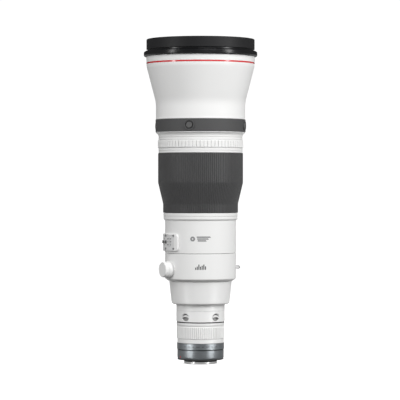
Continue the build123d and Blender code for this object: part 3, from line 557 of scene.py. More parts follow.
# ---- front group -------------------------------------------------------------------------
def make_front_rim():
    rim = span("front_rim")
    r, base = rim.r, rim.base
    bore = r - 8
    corners = [
        (bore, base), (r - 1, base, 0.3, 2), (r, base + 1.4, 0.6, 2),
        (r - 0.2, base + 6.3, 0.8, 2), (r - 2.2, base + 7.7, 0.5, 2),
        (r - 6.2, base + 7.9, 0.3, 2), (r - 6.2, base + 10.0, 0.3, 2),
        (r - 4, base + 10.1, 0.4), (r - 4, rim.top, 1.8), (bore + 1.4, rim.top, 0.8),
        (bore + 0.2, rim.top - 2, 0.4),
    ]
    for i in range(11):
        step = rim.top - 4 - 1.7 * i
        corners += [(bore + 0.5, step, 0.1, 1), (bore, step - 0.5, 0, 1), (bore, step - 1.2, 0.1, 1)]
    new_object("front_rim_turned", lathe_mesh(corners), [BLACK, INSIDE, GLOSS], "barrel", "front_rim")


def make_front_glass():
    glass = span("front_element")
    dome = glass.top - glass.base
    edge = 7.0
    corners = [(0, glass.base + 3), (glass.r / 2, glass.base + 2.2), (glass.r - 4, glass.base),
               (glass.r, glass.base, 0.2), (glass.r, glass.base + edge, 0.2),
               (glass.r - 2, glass.base + edge)]
    rings = 14
    sag = dome - edge
    for i in range(1, rings + 1):
        r = (glass.r - 2) * (1 - i / rings)
        corners.append((r, glass.top - sag * (r / (glass.r - 2)) ** 2))
    new_object("front_glass", disc_mesh(corners, Matrix.Identity(4), segments=160), [GLASS], "barrel",
               "front_element", sharp=40)


def make_front_barrel():
    barrel = span("front_barrel")
    red = span("red_line_ring")
    neck = span("middle_barrel").r
    bore = neck - 2.8
    seat = span("front_element")
    outer_at = barrel.r - 0.5
    corners = [
        (bore, barrel.base), (neck - 0.4, barrel.base, 0.2), (neck + 0.25, barrel.base + 0.5, 0.2),
        (neck + 0.25, barrel.base + 2.2, 0.4), (neck, barrel.base + 2.6, 0.4),
        (neck, barrel.base + 25.2, 52), (barrel.r - 0.7, barrel.top - 15.5, 66),
        (outer_at, red.base, 0.08), (red.r - 0.5, red.base + 0.05, 0, 2),
        (red.r - 0.5, red.top - 0.05, 0, 2), (outer_at + 0.1, red.top, 0.08),
        (barrel.r, barrel.top - 0.1, 0.5), (seat.r + 0.3, barrel.top - 0.1, 0, 1),
        (seat.r + 0.05, seat.base, 0, 1), (seat.r - 4.5, seat.base, 0, 1),
        (seat.r - 4.5, seat.base - 3, 0, 1), (bore, barrel.base + 25.2, 0, 1),
    ]
    # Index 2, the darker crease paint on the red line's groove, is painted shade.
    new_object("front_barrel_shell", lathe_mesh(corners), [WHITE, INSIDE, CREASE_SHADE], "barrel", "front_barrel")
    line = [(red.r - 0.6, red.base + 0.05), (red.r + 0.05, red.base + 0.05, 0.5),
            (red.r + 0.05, red.top - 0.05, 0.5), (red.r - 0.6, red.top - 0.05)]
    new_object("red_line", lathe_mesh(line), [RED], "barrel", "red_line_ring")


# ---- belt and buttons --------------------------------------------------------------------
BUTTONS = [f"stop_button_{i}" for i in range(1, 5)]


def make_belt():
    top = span("front_barrel").base
    base = span("button_belt").base
    r = span("middle_barrel").r + 0.6
    corners = [(r - 2.4, base + 0.02), (r, base + 0.02, 0.6), (r, top - 0.02, 0.6), (r - 2.4, top - 0.02)]
    belt = new_object("button_belt_rubber", lathe_mesh(corners), [BELT], "barrel", "button_belt")
    holes = bmesh.new()
    for node in BUTTONS:
        place = node_frame(node)
        disc_mesh([(0, r - 1.2), (6.5, r - 1.2), (6.5, r + 3), (0, r + 3)], place, maker=holes)
        disc_mesh([(0, r - 4), (4.65, r - 4), (4.65, r - 1), (0, r - 1)], place, maker=holes)
    carve(belt, holes)
    rings = bmesh.new()
    for node in BUTTONS:
        place = node_frame(node)
        disc_mesh([(6.05, r - 1.3), (8.0, r - 1.3), (8.0, r + 0.9, 0.5), (7.4, r + 1.0, 0.3),
                   (6.4, r + 1.0, 0.4), (6.05, r + 0.4, 0.3)], place, segments=64, maker=rings)
    new_object("button_rings", rings, [BELT], "barrel")


def make_stop_buttons():
    r = span("middle_barrel").r + 0.6
    for node in BUTTONS:
        place = node_frame(node)
        corners = [(0, r - 7.2), (4.35, r - 7.2), (4.35, r + 1.0, 0.7), (3.2, r + 0.95, 1.5), (0, r + 0.7)]
        body = frame_body(node)
        new_object(node + "_cap", disc_mesh(corners, place, segments=56), [BUTTON], body, node)


def frame_body(node):
    """Name of the body that a CAD node rides on."""
    for body, nodes in frame["record"]["behaviour"]["bodies"].items():
        if node in nodes:
            return body
    raise KeyError(node)


# ---- middle barrel and playback ring -----------------------------------------------------
def make_middle_barrel():
    barrel = span("middle_barrel")
    r, base = barrel.r, barrel.base
    ring = span("playback_ring")
    belt_base = span("button_belt").base
    sleeve = ring.r - 1.1
    bed = sleeve - 1.7
    corners = [
        (r - 5, barrel.top), (r - 2, barrel.top), (r - 2, belt_base),
        (r, belt_base, 0.4), (r, belt_base - 0.9, 0.5), (sleeve + 1.6, belt_base - 2.6, 2.2),
        (sleeve, belt_base - 5.0, 5.5), (sleeve, belt_base - 7.4, 0.15),
        (sleeve - 0.45, belt_base - 7.5, 0.05, 1), (sleeve - 0.45, belt_base - 7.9, 0.05, 1),
        (sleeve, belt_base - 8.0, 0.15), (sleeve, ring.top + 0.3, 0.35), (bed, ring.top + 0.3, 0, 1),
        (bed, ring.base - 0.3, 0, 1), (sleeve, ring.base - 0.3, 0.35), (sleeve, base + 3.6, 0.15),
        (sleeve - 0.4, base + 3.5, 0.05, 1), (sleeve - 0.4, base + 3.2, 0.05, 1),
        (sleeve, base + 3.1, 0.15), (sleeve, base, 0.4), (49.6, base, 0, 2),
        (49.6, base + 3, 0, 2), (58.2, base + 3, 0, 2), (58.2, belt_base - 4, 0, 2),
        (r - 5, belt_base, 0, 2),
    ]
    maker = lathe_mesh(corners)
    # Index 1, the darker crease paint on the fine groove lines and under the playback ring, is painted
    # shade.
    new_object("middle_barrel_shell", maker, [WHITE, CREASE_SHADE, INSIDE], "barrel", "middle_barrel")
    rib = 0.95
    bore = bed + 0.4
    corners = [
        (bore, ring.base), (ring.r - 0.5, ring.base, 0.3), (ring.r, ring.base + 0.7, 0.3, 0, rib),
        (ring.r, ring.top - 2.1, 0.3, 0, rib), (ring.r - 0.3, ring.top - 1.5, 0.2),
        (ring.r - 0.3, ring.top, 0.4), (bore, ring.top),
    ]
    shape = [(0.0, 0.0), (0.18, 0.0), (0.36, 0.0), (0.54, 0.0), (0.72, 0.0), (0.78, 0.3), (0.82, 1.0),
             (0.91, 1.0), (0.95, 0.3)]
    # The rib grooves' floors take the darker crease paint: painted shade.
    maker = lathe_mesh(corners, rib_angles(72, shape), groove_shade=1)
    new_object("playback_ring_ribbed", maker, [WHITE, CREASE_SHADE], "playback", "playback_ring")


# ---- focusing grip -----------------------------------------------------------------------
def make_focus_grip():
    grip = span("focus_grip")
    small = grip.r - 7.4
    cone_base = grip.base + 13.1
    cone_top = grip.top - 43.7
    rib = 0.55
    corners = [
        (small - 1.5, grip.base), (small - 0.3, grip.base, 0.3), (small, grip.base + 0.8, 0.4, 0, rib),
        (small, cone_base, 14, 0, rib), (grip.r, cone_top, 14, 0, rib),
        (grip.r, grip.top - 0.8, 0.4, 0, rib), (grip.r - 0.3, grip.top, 0.3), (grip.r - 1.5, grip.top),
        (grip.r - 1.5, cone_top + 1), (small - 1.5, cone_base - 1),
    ]
    shape = [(0.0, 0.0), (0.25, 0.0), (0.5, 0.0), (0.62, 0.45), (0.7, 1.0), (0.82, 1.0), (0.9, 0.45)]
    maker = lathe_mesh(corners, rib_angles(132, shape))
    new_object("focus_grip_ribbed", maker, [GRIP], "focus", "focus_grip", sharp=50)


# ---- switch barrel and panel -------------------------------------------------------------
SWITCH_NODES = ["focus_mode_switch", "focus_range_switch", "stabiliser_switch", "stabiliser_mode_switch",
                "preset_switch"]


def panel_place():
    """Azimuth, height and size of the switch plate, read from its CAD node."""
    plate = span("switch_plate")
    return SimpleNamespace(azimuth=azimuth_of("stabiliser_switch") + 9.5, z=centre("switch_plate").z,
                           length=plate.top - plate.base, r=55.1)


def make_switch_barrel():
    barrel = span("switch_barrel")
    grip = span("focus_grip")
    panel = panel_place()
    r = SWITCH_R
    ring = 54.8
    top = grip.base - 0.4
    corners = [
        (49.6, barrel.base), (r, barrel.base, 0.5), (r, top - 11.2, 0.25), (ring, top - 8.9, 0.35),
        (ring, top - 4.9, 0.12), (ring - 0.45, top - 4.7, 0.05, 1), (ring - 0.45, top - 4.4, 0.05, 1),
        (ring, top - 4.2, 0.12), (ring, top, 0.5), (52.2, top, 0, 2), (52.2, barrel.top, 0, 2),
        (49.6, barrel.top, 0, 2),
    ]
    maker = lathe_mesh(corners)
    arc = panel.r * math.radians(93)
    patch_mesh(panel.azimuth, panel.z, arc, panel.length + 2.6, 5.0, r - 1.0, panel.r + 0.55, 1.6, maker)
    # Index 1, the darker crease paint on the fine groove line, is painted shade.
    piece = new_object("switch_barrel_shell", maker, [WHITE, CREASE_SHADE, INSIDE], "barrel", "switch_barrel")
    holes = patch_mesh(panel.azimuth, panel.z, plate_arc(panel) + 0.3, panel.length + 0.3, 2.6,
                       panel.r - 0.2, panel.r + 3, 0.01)
    for node in SWITCH_NODES:
        place = node_frame(node, panel.r - 2)
        box_mesh((6.4, 13.0, 4.0), place, holes)
    carve(piece, holes)


def plate_arc(panel):
    """Width of the switch plate measured round the barrel."""
    return panel.r * math.radians(80.5)


def make_switch_plate():
    panel = panel_place()
    plate = patch_mesh(panel.azimuth, panel.z, plate_arc(panel), panel.length, 2.5, panel.r - 0.2,
                       panel.r + 0.25, 0.15)
    piece = new_object("switch_plate_panel", plate, [PLATE], "barrel", "switch_plate")
    holes = bmesh.new()
    for node in SWITCH_NODES:
        place = node_frame(node, panel.r)
        box_mesh((3.8, 8.4, 4.0), place, holes)
    carve(piece, holes)


def make_plate_marks():
    """Short strokes beside the switches, where the real plate has lettering."""
    panel = panel_place()
    shapes = []
    for node in SWITCH_NODES:
        first = node == SWITCH_NODES[0]
        middle = (azimuth_of(node) - panel.azimuth) * math.radians(1) * panel.r
        columns = ((6.6, (4.0, 2.6, 3.6)), (13.6, (3.0, 3.8, 2.4))) if first else ((5.9, (2.2, 1.6, 2.0)),)
        for column, widths in columns:
            for row, width in enumerate(widths):
                shapes.append(flat_box(width, 0.9, middle + column, 5.2 - 4.4 * row))
                shapes.append(flat_box(0.7 * width, 0.6, middle + column, 3.4 - 4.4 * row))
        if first:
            shapes.append(flat_box(0.45, 14.0, middle + 10.1, 0))
    marks = wrapped_mesh(shapes, panel.azimuth, panel.z + 0.7, panel.r + 0.1, panel.r + 0.29)
    new_object("plate_marks", marks, [DARK_INK], "barrel")


def make_slide_switches():
    panel = panel_place()
    for node in SWITCH_NODES:
        place = node_frame(node, panel.r)
        side = place @ Matrix.Rotation(math.pi / 2, 4, "Y")
        knob = [(-0.35, -2.3, 0.3), (-1.7, -1.7, 0.4)]
        for y in (-1.2, -0.3, 0.6):
            knob += [(-1.8, y, 0.15), (-1.35, y + 0.25, 0.1), (-1.35, y + 0.55, 0.1), (-1.8, y + 0.8, 0.15)]
        knob += [(-1.7, 1.7, 0.4), (-0.35, 2.3, 0.3)]
        maker = prism_mesh(knob, -2.3, 2.3, side)
        prism_mesh([(-0.5, -1.5), (-0.5, 1.5), (3.2, 1.5), (3.2, -1.5)], -1.3, 1.3, side, maker)
        prism_mesh([(0.9, -3.7), (0.9, 3.7), (3.1, 3.7), (3.1, -3.7)], -2.7, 2.7, side, maker)
        bevelled(new_object(node + "_slider", maker, [BUTTON], frame_body(node), node), 0.18)


# ---- tripod collar -----------------------------------------------------------------------
def foot_pad():
    """Outline of the two pads that join the collar and its foot."""
    return rectangle(42, 38, 5, 0, 136)


def make_tripod_collar():
    base, top = span("tripod_collar").base, span("tripod_collar").top
    r = SWITCH_R
    corners = [
        (45.6, base), (46.8, base, 0.5), (r, base + 3.6, 1.6), (r, top, 0.5), (49.0, top),
        (49.0, base + 3.5), (45.6, base + 3.5),
    ]
    ring = new_object("tripod_collar_ring", lathe_mesh(corners), [WHITE], "collar", "tripod_collar")
    place = node_frame("knob_stud")
    carve(ring, disc_mesh([(0, 40), (4.6, 40), (4.6, 60), (0, 60)], place))
    maker = disc_mesh([(4.6, r - 2.4), (12.8, r - 2.4), (12.8, r - 0.2, 0.3), (12.2, r + 0.45, 0.5),
                       (4.6, r + 0.45)], place, segments=72)
    prism_mesh(foot_pad(), -box_of("tripod_foot")[0][1], -47.5, TO_TOP, maker)
    bevelled(new_object("tripod_collar_pads", maker, [WHITE], "collar"), 0.5, angle=50)


def make_collar_knob():
    face = 65.0
    place = node_frame("knob_stud")
    rib = 0.3
    skirt = 59.2
    corners = [
        (0, 53.35), (12.0, 53.35, 0.4), (12.8, 54.3, 0.5), (12.7, skirt - 2.0, 1.5),
        (11.6, skirt + 0.2, 0.6), (11.4, skirt + 0.4, 0.15), (11.35, skirt + 0.8, 0.2, 0, rib),
        (11.25, face - 1.7, 0.2, 0, rib),
        (11.2, face - 0.9, 0.5), (10.5, face, 0.5), (9.7, face, 0.2), (9.4, face - 0.12, 0.2),
        (0, face - 0.12),
    ]
    shape = [(0.0, 0.0), (0.3, 0.0), (0.55, 0.5), (0.75, 1.0), (0.9, 0.5)]
    maker = lathe_mesh(corners, rib_angles(40, shape), place=place)
    new_object("collar_knob_ribbed", maker, [WHITE], "knob", "collar_knob", sharp=40)


def make_strap_loop():
    z = centre("strap_loop").z
    tip = box_of("strap_loop")[1][0]
    wire = 0.9
    points = [(x, 0, z + y) for x, y in circle_points(2.4 - wire, tip - 2.4, 0, 14, 90, -180)]
    root = SWITCH_R - 1.3
    points += [(root, 0, z - 2.4 + wire), (root, 0, z + 2.4 - wire)]
    new_object("strap_loop_bar", tube_mesh(points, wire), [LOOP_METAL], "collar", "strap_loop", sharp=60)


def make_tripod_foot():
    low, high = box_of("tripod_foot")
    middle = (low[2] + high[2]) / 2
    outline = rectangle(high[0] - low[0], high[2] - low[2], 7, 0, middle)
    maker = prism_mesh(outline, -high[1], -high[1] + 9, TO_TOP)
    plate = new_object("tripod_foot_plate", maker, [WHITE], "collar", "tripod_foot")
    holes = bmesh.new()
    threads = [(Matrix.Translation((0, high[1] * MM, z * MM)) @ TO_FOOT, r)
               for z, r in ((136, 2.9), (205, 4.4))]
    for place, r in threads:
        disc_mesh([(0, -11), (r, -11), (r, -0.8), (r + 0.8, 0.1), (r + 0.8, 3), (0, 3)], place, maker=holes)
    carve(plate, holes)
    bevelled(plate, 1.2, segments=4, angle=50)
    maker = prism_mesh(foot_pad(), -low[1] - 6, -low[1], TO_TOP)
    inner = high[1] - 9
    side = Matrix(((0, 0, 1, 0), (1, 0, 0, 0), (0, 1, 0, 0), (0, 0, 0, 1)))
    neck = [(low[1] + 1, 124), (inner - 12, 124, 14), (inner, low[2] + 1), (inner + 0.5, low[2] + 1),
            (inner + 0.5, 168), (inner, 168), (inner - 12, 148, 22), (low[1] + 1, 148)]
    prism_mesh(neck, -11, 11, side, maker)
    neck = new_object("tripod_foot_neck", maker, [WHITE], "collar")
    bevelled(neck, 1.6, segments=4, angle=50)
    bushes = bmesh.new()
    for place, r in threads:
        corners = [(r + 0.02, -10.5), (r + 0.02, -0.9, 0.1), (r - 0.2, -0.7, 0.1)]
        for i in range(9):
            corners += [(r - 0.35, -1.2 - i), (r - 0.02, -1.7 - i)]
        disc_mesh(corners, place, maker=bushes)
    new_object("foot_thread_bushes", bushes, [STEEL], "collar")


# ---- rear cone, filter drawer, rear barrel -------------------------------------------------
def make_rear_cone():
    cone = span("rear_cone")
    rear = span("rear_barrel")
    corners = [
        (cone.r - 3.4, cone.top), (cone.r, cone.top, 0.4), (cone.r - 3.4, cone.base, 3.5),
        (rear.r + 0.5, cone.base, 0.4), (30.0, cone.base), (30.0, cone.base + 3),
        (cone.r - 6.8, cone.base + 3),
    ]
    piece = new_object("rear_cone_shell", lathe_mesh(corners), [WHITE], "barrel", "rear_cone")
    place = Matrix.Translation((0, 0.040, centre("filter_holder").z * MM))
    carve(piece, box_mesh((60.0, 40.0, 22.0), place))


def make_filter_holder():
    cone = span("rear_cone")
    middle = centre("filter_holder").z
    slope = 3.4 / (cone.top - cone.base)

    def surface_r(z):
        return cone.r - (cone.top - z) * slope

    low, high = middle - 10.7, middle + 10.7
    corners = [(34, low), (surface_r(low), low, 0.7), (surface_r(high), high, 0.7), (34, high)]
    half = 41.4
    angles = [(math.radians(180 - half + 2 * half * i / 60), 0.0) for i in range(61)]
    cap = new_object("filter_drawer_cap", lathe_mesh(corners, angles, full=False), [WHITE], "filter",
                     "filter_holder")
    place = Matrix.Translation((0, 0, middle * MM))
    facing = place @ TO_FOOT
    recesses = bmesh.new()
    for x in (-20, 20):
        prism_mesh(rectangle(6.4, 12.4, 3.1, x, 0), 37.5, 50, facing, recesses)
    disc_mesh([(0, 41.5), (9.4, 41.5), (9.4, 50), (0, 50)], facing, maker=recesses)
    carve(cap, recesses)
    bevelled(cap, 0.35, angle=50)
    latches = bmesh.new()
    for x in (-20, 20):
        prism_mesh(rectangle(5.4, 11.4, 2.6, x, 0), 36.5, 39.2, facing, latches)
    disc_mesh([(0, 41), (9.0, 41), (9.0, 43.2, 0.5), (8.4, 43.6, 0.3), (7.9, 43.6, 0.2),
               (7.6, 46.4, 0.8), (0, 46.4)], facing, segments=72, maker=latches)
    box_mesh((13.5, 1.6, 0.8), facing @ Matrix.Translation((0, 0, 46.4 * MM)), latches)
    box_mesh((57.4, 8.0, 16.0), facing @ Matrix.Translation((0, 0, 28.5 * MM)), latches)
    bevelled(new_object("filter_drawer_latches", latches, [PLASTIC], "filter"), 0.25)
    half_width = 28.8
    outline = circle_points(half_width, 0, 0, 49, 180, 180) + [(half_width, 22), (-half_width, 22)]
    holder = new_object("filter_drawer_frame", prism_mesh(outline, -4, 4, place), [PLASTIC], "filter")
    carve(holder, disc_mesh([(0, -6), (25, -6), (25, 0), (26.1, 0), (26.1, 6), (0, 6)], place, segments=96))


def make_rear_barrel():
    barrel = span("rear_barrel")
    r = barrel.r
    ring = span("control_ring")
    cone = span("rear_cone")
    z = span("strap_eyelets").base + 0.7
    groove = cone.base - 9.4
    corners = [
        (29.6, barrel.base), (33.0, barrel.base, 0, 1), (33.0, ring.top + 1.2, 0, 1),
        (r, ring.top + 1.2, 0.5), (r, groove - 0.3, 0.12), (r - 0.45, groove - 0.2, 0.05, 2),
        (r - 0.45, groove + 0.1, 0.05, 2), (r, groove + 0.2, 0.12), (r, cone.base + 0.02),
        (29.6, cone.base + 0.02, 0, 1),
    ]
    maker = lathe_mesh(corners)
    # Index 2, the darker crease paint on the fine groove line, is painted shade.
    piece = new_object("rear_barrel_shell", maker, [WHITE, INSIDE, CREASE_SHADE], "barrel", "rear_barrel")
    frames = [radial_frame(azimuth, z) for azimuth in EYELET_AZIMUTHS]
    ovals = [place @ Matrix.Diagonal((1.0, 0.84, 1.0, 1.0)) for place in frames]
    dishes = bmesh.new()
    for place in ovals:
        disc_mesh([(0, r - 1.6), (6.0, r - 1.5), (7.6, r + 0.05, 1.0), (7.6, r + 3),
                   (0, r + 3)], place, 64, dishes)
    carve(piece, dishes)
    pockets = bmesh.new()
    for place in ovals:
        disc_mesh([(0, r - 5.6), (6.3, r - 5.6), (6.3, r), (0, r)], place,
                  maker=pockets)
    carve(piece, pockets)
    # Grey discs in the bottom of the eyelet pockets, under the bars: painted shade.
    pocket_shade = bmesh.new()
    for place in ovals:
        disc_mesh([(0, r - 5.5), (6.25, r - 5.5), (6.25, r - 2.4), (6.0, r - 2.4),
                   (5.2, r - 4.6, 1.0), (0, r - 5.0)], place, maker=pocket_shade)
    bars = bmesh.new()
    for place in frames:
        top = [(5.5 * math.cos(t), 3.6 * math.sin(t) - 0.2) for t in even_steps(0.15, math.pi - 0.15, 21)]
        under = [(4.6 * math.cos(t), 1.2 * math.sin(t) - 0.4) for t in even_steps(math.pi, 0, 21)]
        outline = top + [(-6.3, 0.5, 0.2), (-6.3, -0.8, 0.2)] + under + [(6.3, -0.8, 0.2), (6.3, 0.5, 0.2)]
        prism_mesh(outline, r - 3.0, r - 1.0, place, bars)
    new_object("strap_eyelet_pocket_shade", pocket_shade, [POCKET_SHADE], "barrel")
    bevelled(new_object("strap_eyelet_bars", bars, [WHITE], "barrel", "strap_eyelets"), 0.5, angle=50)


def make_control_ring():
    ring = span("control_ring")
    r, base = ring.r, ring.base
    rib = 0.6
    corners = [
        (33.3, base), (r - 1.2, base, 0.25), (r - 1.2, base + 6.3, 0.4),
        (r - 0.5, base + 6.6, 0.2), (r - 0.2, base + 7.3, 0.4, 0, rib),
        (r - 0.2, base + 23.3, 0.4, 0, rib), (r - 0.9, base + 24.1, 0.3),
        (r - 0.9, base + 24.9, 0.4), (r - 0.1, base + 26.7, 0.5),
        (r, ring.top, 0.2, 2), (33.3, ring.top),
    ]
    shape = [(0.0, 0.0), (0.15, 0.0), (0.3, 0.0), (0.45, 0.12), (0.56, 0.6), (0.64, 1.0), (0.80, 1.0),
             (0.89, 0.6)]
    # The rib grooves' floors take the light grey groove paint: painted shade.
    maker = lathe_mesh(corners, rib_angles(76, shape), groove_shade=1)
    new_object("control_ring_ribbed", maker, [WHITE, SHADE, INSIDE], "control", "control_ring", sharp=40)


# ---- mount -------------------------------------------------------------------------------
def make_mount():
    collar = span("mount_collar")
    r = collar.r
    step = collar.base + 13.7
    corners = [
        (28.0, 1.8, 0, 1), (33.2, 1.8, 0, 1), (33.2, collar.base, 0, 1),
        (r - 1.0, collar.base, 0.6), (r - 0.5, collar.base + 2, 1.0),
        (r - 0.55, step - 0.9, 0.2), (r - 1.3, step - 0.7, 0.1, 1),
        (r - 1.3, step + 0.1, 0.1, 1), (r, step + 0.3, 0.3), (r, collar.top, 0.4),
        (28.0, collar.top, 0, 1),
    ]
    new_object("mount_collar_ring", lathe_mesh(corners), [GREY, INSIDE], "barrel", "mount_collar")
    seal = span("mount_seal")
    corners = [(33.0, seal.base), (seal.r - 0.3, seal.base, 0.2), (seal.r, seal.top - 0.3, 0.4),
               (33.0, seal.top - 0.1)]
    new_object("mount_seal_lip", lathe_mesh(corners), [SEAL], "barrel", "mount_seal")
    dot = wrapped_mesh([circle_points(1.15)], -60, collar.base + 3, r - 0.9, r - 0.38)
    new_object("index_dot", dot, [RED], "barrel")
    dashes = []
    for i, width in enumerate((2.6, 3.8, 2.2, 5.2, 3.0, 4.4, 2.4, 3.4)):
        dashes.append(flat_box(width, 1.3, -25 + 7.1 * i, 0))
    marks = wrapped_mesh(dashes, 0, collar.top - 4.6, r - 0.3, r + 0.02)
    new_object("mount_collar_dashes", marks, [DARK_INK], "barrel")


def make_bayonet():
    low, high = box_of("bayonet")
    bore, tube, flange = 21.8, 24.4, high[0]
    # The tube between the flange and the claws is chrome on the real mount; its matt black paint is painted
    # shade under the flange.
    corners = [
        (bore, low[2], 0.3), (tube, low[2], 0.4), (tube, low[2] + 3.2, 0, 1), (tube, -0.4, 0.1, 1),
        (tube + 0.3, 0, 0.1), (flange, 0, 0.3),
        (flange, high[2], 0), (bore + 0.6, high[2], 0), (bore, high[2] - 0.6, 0),
    ]
    maker = lathe_mesh(corners)
    claw = [(tube - 0.4, low[2] + 0.02), (26.4, low[2] + 0.02, 0.3), (26.6, low[2] + 0.5, 0.2),
            (26.6, low[2] + 2.1, 0.15), (tube - 0.4, low[2] + 2.1)]
    half = 29
    for middle in (0, 120, 240):
        angles = [(math.radians(middle - half + 2 * half * i / 40), 0.0) for i in range(41)]
        lathe_mesh(claw, angles, maker, full=False)
    piece = new_object("bayonet_turned", maker, [CHROME, INSIDE], "barrel", "bayonet")
    screws = bmesh.new()
    for i in range(4):
        turn = math.radians(45 + 90 * i)
        place = Matrix.Translation((0.0294 * math.cos(turn), 0.0294 * math.sin(turn), 0))
        disc_mesh([(0, -1), (1.9, -1), (1.9, 0.1), (1.0, 0.9), (1.0, 3), (0, 3)], place, maker=screws)
    carve(piece, screws)


# ---- generic marks -----------------------------------------------------------------------
def make_emblem():
    """Invented mark on the switch barrel: a six-bladed aperture and three tapering stripes."""
    shapes = []
    for i in range(6):
        turn = 60 * i
        outer = circle_points(3.9, -11.6, 0, 2, turn, 57)
        inner = circle_points(1.3, -11.6, 0, 2, turn + 26, 56)
        shapes.append([outer[0], outer[1], inner[1], inner[0]])
    for i in range(3):
        y = 2.7 - 2.7 * i
        left = -5.6 + 0.7 * i
        right = 15.4 - 3.2 * i
        shapes.append([(left, y - 0.95), (right, y - 0.95), (right - 1.3, y + 0.95), (left, y + 0.95)])
    marks = wrapped_mesh(shapes, 0, 178, SWITCH_R - 0.3, SWITCH_R + 0.05)
    new_object("aperture_emblem", marks, [INK], "barrel")


def make_gauge_mark():
    """Invented mark on the collar: a row of upright bars."""
    shapes = []
    heights = (3.2, 4.6, 7.6, 4.6, 6.0, 7.6, 5.0)
    for i, tall in enumerate(heights):
        x = -7.2 + 2.4 * i
        shapes.append(flat_box(1.5, tall, x, (tall - 7.6) / 2))
    marks = wrapped_mesh(shapes, 0, 137, SWITCH_R - 0.3, SWITCH_R + 0.05)
    new_object("gauge_mark", marks, [DARK_INK], "collar")


def even_normals():
    """Weights normals by face area, so that long flat or round faces stay true beside small fillets."""
    for piece in bpy.context.scene.objects:
        if piece.type == "MESH" and piece.name not in frame["nodes"]:
            weighted = piece.modifiers.new("normals", "WEIGHTED_NORMAL")
            weighted.keep_sharp = True
            weighted.weight = 100


def build_everything():
    finish_cad_nodes()
    make_front_rim()
    make_front_glass()
    make_front_barrel()
    make_belt()
    make_stop_buttons()
    make_middle_barrel()
    make_focus_grip()
    make_switch_barrel()
    make_switch_plate()
    make_plate_marks()
    make_slide_switches()
    make_tripod_collar()
    make_collar_knob()
    make_strap_loop()
    make_tripod_foot()
    make_rear_cone()
    make_filter_holder()
    make_rear_barrel()
    make_control_ring()
    make_mount()
    make_bayonet()
    make_emblem()
    make_gauge_mark()
    even_normals()


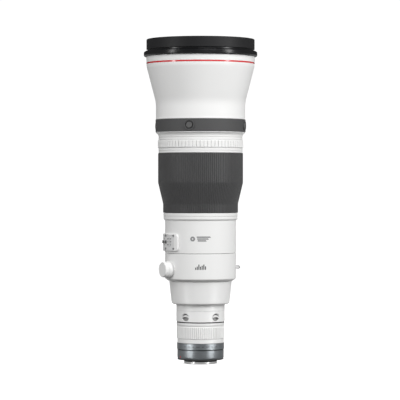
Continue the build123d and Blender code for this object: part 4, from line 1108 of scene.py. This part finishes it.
# ---- stage -------------------------------------------------------------------------------
def make_stage():
    """Pale floor, a white backdrop that gives little light, and softboxes on both sides."""
    low = cad_box[0]
    bpy.ops.mesh.primitive_plane_add(size=30, location=(0, 0, low[2] - 0.0005))
    floor = bpy.context.object
    floor.name = "floor"
    material = bpy.data.materials.new("floor_paper")
    material.use_nodes = True
    nodes, links = material.node_tree.nodes, material.node_tree.links
    shader = nodes["Principled BSDF"]
    shader.inputs["Base Color"].default_value = (0.85, 0.85, 0.85, 1)
    shader.inputs["Roughness"].default_value = 0.9
    shader.inputs["Emission Color"].default_value = (1, 1, 1, 1)
    shader.inputs["Emission Strength"].default_value = 0.75
    dim = nodes.new("ShaderNodeBsdfDiffuse")
    dim.inputs["Color"].default_value = (0.10, 0.10, 0.10, 1)
    mix = nodes.new("ShaderNodeMixShader")
    path = nodes.new("ShaderNodeLightPath")
    seen = nodes.new("ShaderNodeMath")
    seen.operation = "MULTIPLY_ADD"
    links.new(path.outputs["Is Glossy Ray"], seen.inputs[0])
    seen.inputs[1].default_value = 0.30
    links.new(path.outputs["Is Camera Ray"], seen.inputs[2])
    links.new(seen.outputs[0], mix.inputs["Fac"])
    links.new(dim.outputs["BSDF"], mix.inputs[1])
    links.new(shader.outputs["BSDF"], mix.inputs[2])
    links.new(mix.outputs["Shader"], nodes["Material Output"].inputs["Surface"])
    floor.data.materials.append(material)

    world = bpy.data.worlds.new("studio")
    bpy.context.scene.world = world
    world.use_nodes = True
    nodes, links = world.node_tree.nodes, world.node_tree.links
    background = nodes["Background"]
    background.inputs["Color"].default_value = (1, 1, 1, 1)
    direction = nodes.new("ShaderNodeSeparateXYZ")
    links.new(nodes.new("ShaderNodeTexCoord").outputs["Generated"], direction.inputs["Vector"])
    path = nodes.new("ShaderNodeLightPath")
    gloss = nodes.new("ShaderNodeMix")
    links.new(path.outputs["Is Glossy Ray"], gloss.inputs[0])
    remap(nodes, links, direction.outputs["Y"], (-0.8, 0.6), (FILL_FRONT, FILL_BACK), gloss.inputs[2])
    remap(nodes, links, direction.outputs["Y"], (0.1, 0.9), (GLOSS_FILL, GLOSS_BACK), gloss.inputs[3])
    level = nodes.new("ShaderNodeMix")
    links.new(path.outputs["Is Camera Ray"], level.inputs[0])
    links.new(gloss.outputs[0], level.inputs[2])
    level.inputs[3].default_value = 1.05
    links.new(level.outputs[0], background.inputs["Strength"])

    softbox("softbox_right", azimuth=58, distance=1.5, height=0.80, size=(0.26, 1.3), power=STRIP_RIGHT)
    softbox("softbox_left", azimuth=-58, distance=1.5, height=0.80, size=(0.20, 1.3), power=STRIP_LEFT)
    softbox("softbox_front", azimuth=18, distance=1.3, height=1.1, size=(0.8, 0.6), power=FRONT_BOX)
    back = softbox("softbox_back", azimuth=165, distance=1.6, height=0.9, size=(0.7, 1.0), power=BACK_BOX)
    back.visible_glossy = False
    for azimuth, width in ((49, 0.030), (-49, 0.026)):
        sheen = softbox("low_sheen", azimuth=azimuth, distance=0.17, height=0.035, size=(width, 0.09),
                        power=LOW_SHEEN, aim_height=0.035)
        sheen.visible_diffuse = False
        sheen.visible_camera = False


def softbox(name, azimuth, distance, height, size, power, aim_height=0.24):
    """Area light of a width and length, which faces the optical axis. Metres and watts."""
    turn = math.radians(azimuth)
    place = Vector((distance * math.sin(turn), -distance * math.cos(turn), height))
    light = bpy.data.lights.new(name, "AREA")
    light.shape = "RECTANGLE"
    light.size, light.size_y = size
    light.energy = power
    lamp = bpy.data.objects.new(name, light)
    lamp.location = place
    aim = Vector((0, 0, aim_height)) - place
    lamp.rotation_euler = aim.to_track_quat("-Z", "Y").to_euler()
    bpy.context.scene.collection.objects.link(lamp)
    return lamp


def make_camera():
    """Long lens, level with the middle of the object, on its top side."""
    data = bpy.data.cameras.new("camera")
    data.sensor_width = 36
    data.lens = 190.8
    camera = bpy.data.objects.new("camera", data)
    camera.location = (-0.0008, -3.138, 0.255)
    aim = Vector((-0.0008, 0, 0.2345)) - camera.location
    camera.rotation_euler = aim.to_track_quat("-Z", "Y").to_euler()
    bpy.context.scene.collection.objects.link(camera)
    bpy.context.scene.camera = camera


build_everything()
make_stage()
make_camera()
bpy.context.scene.view_settings.view_transform = "Standard"
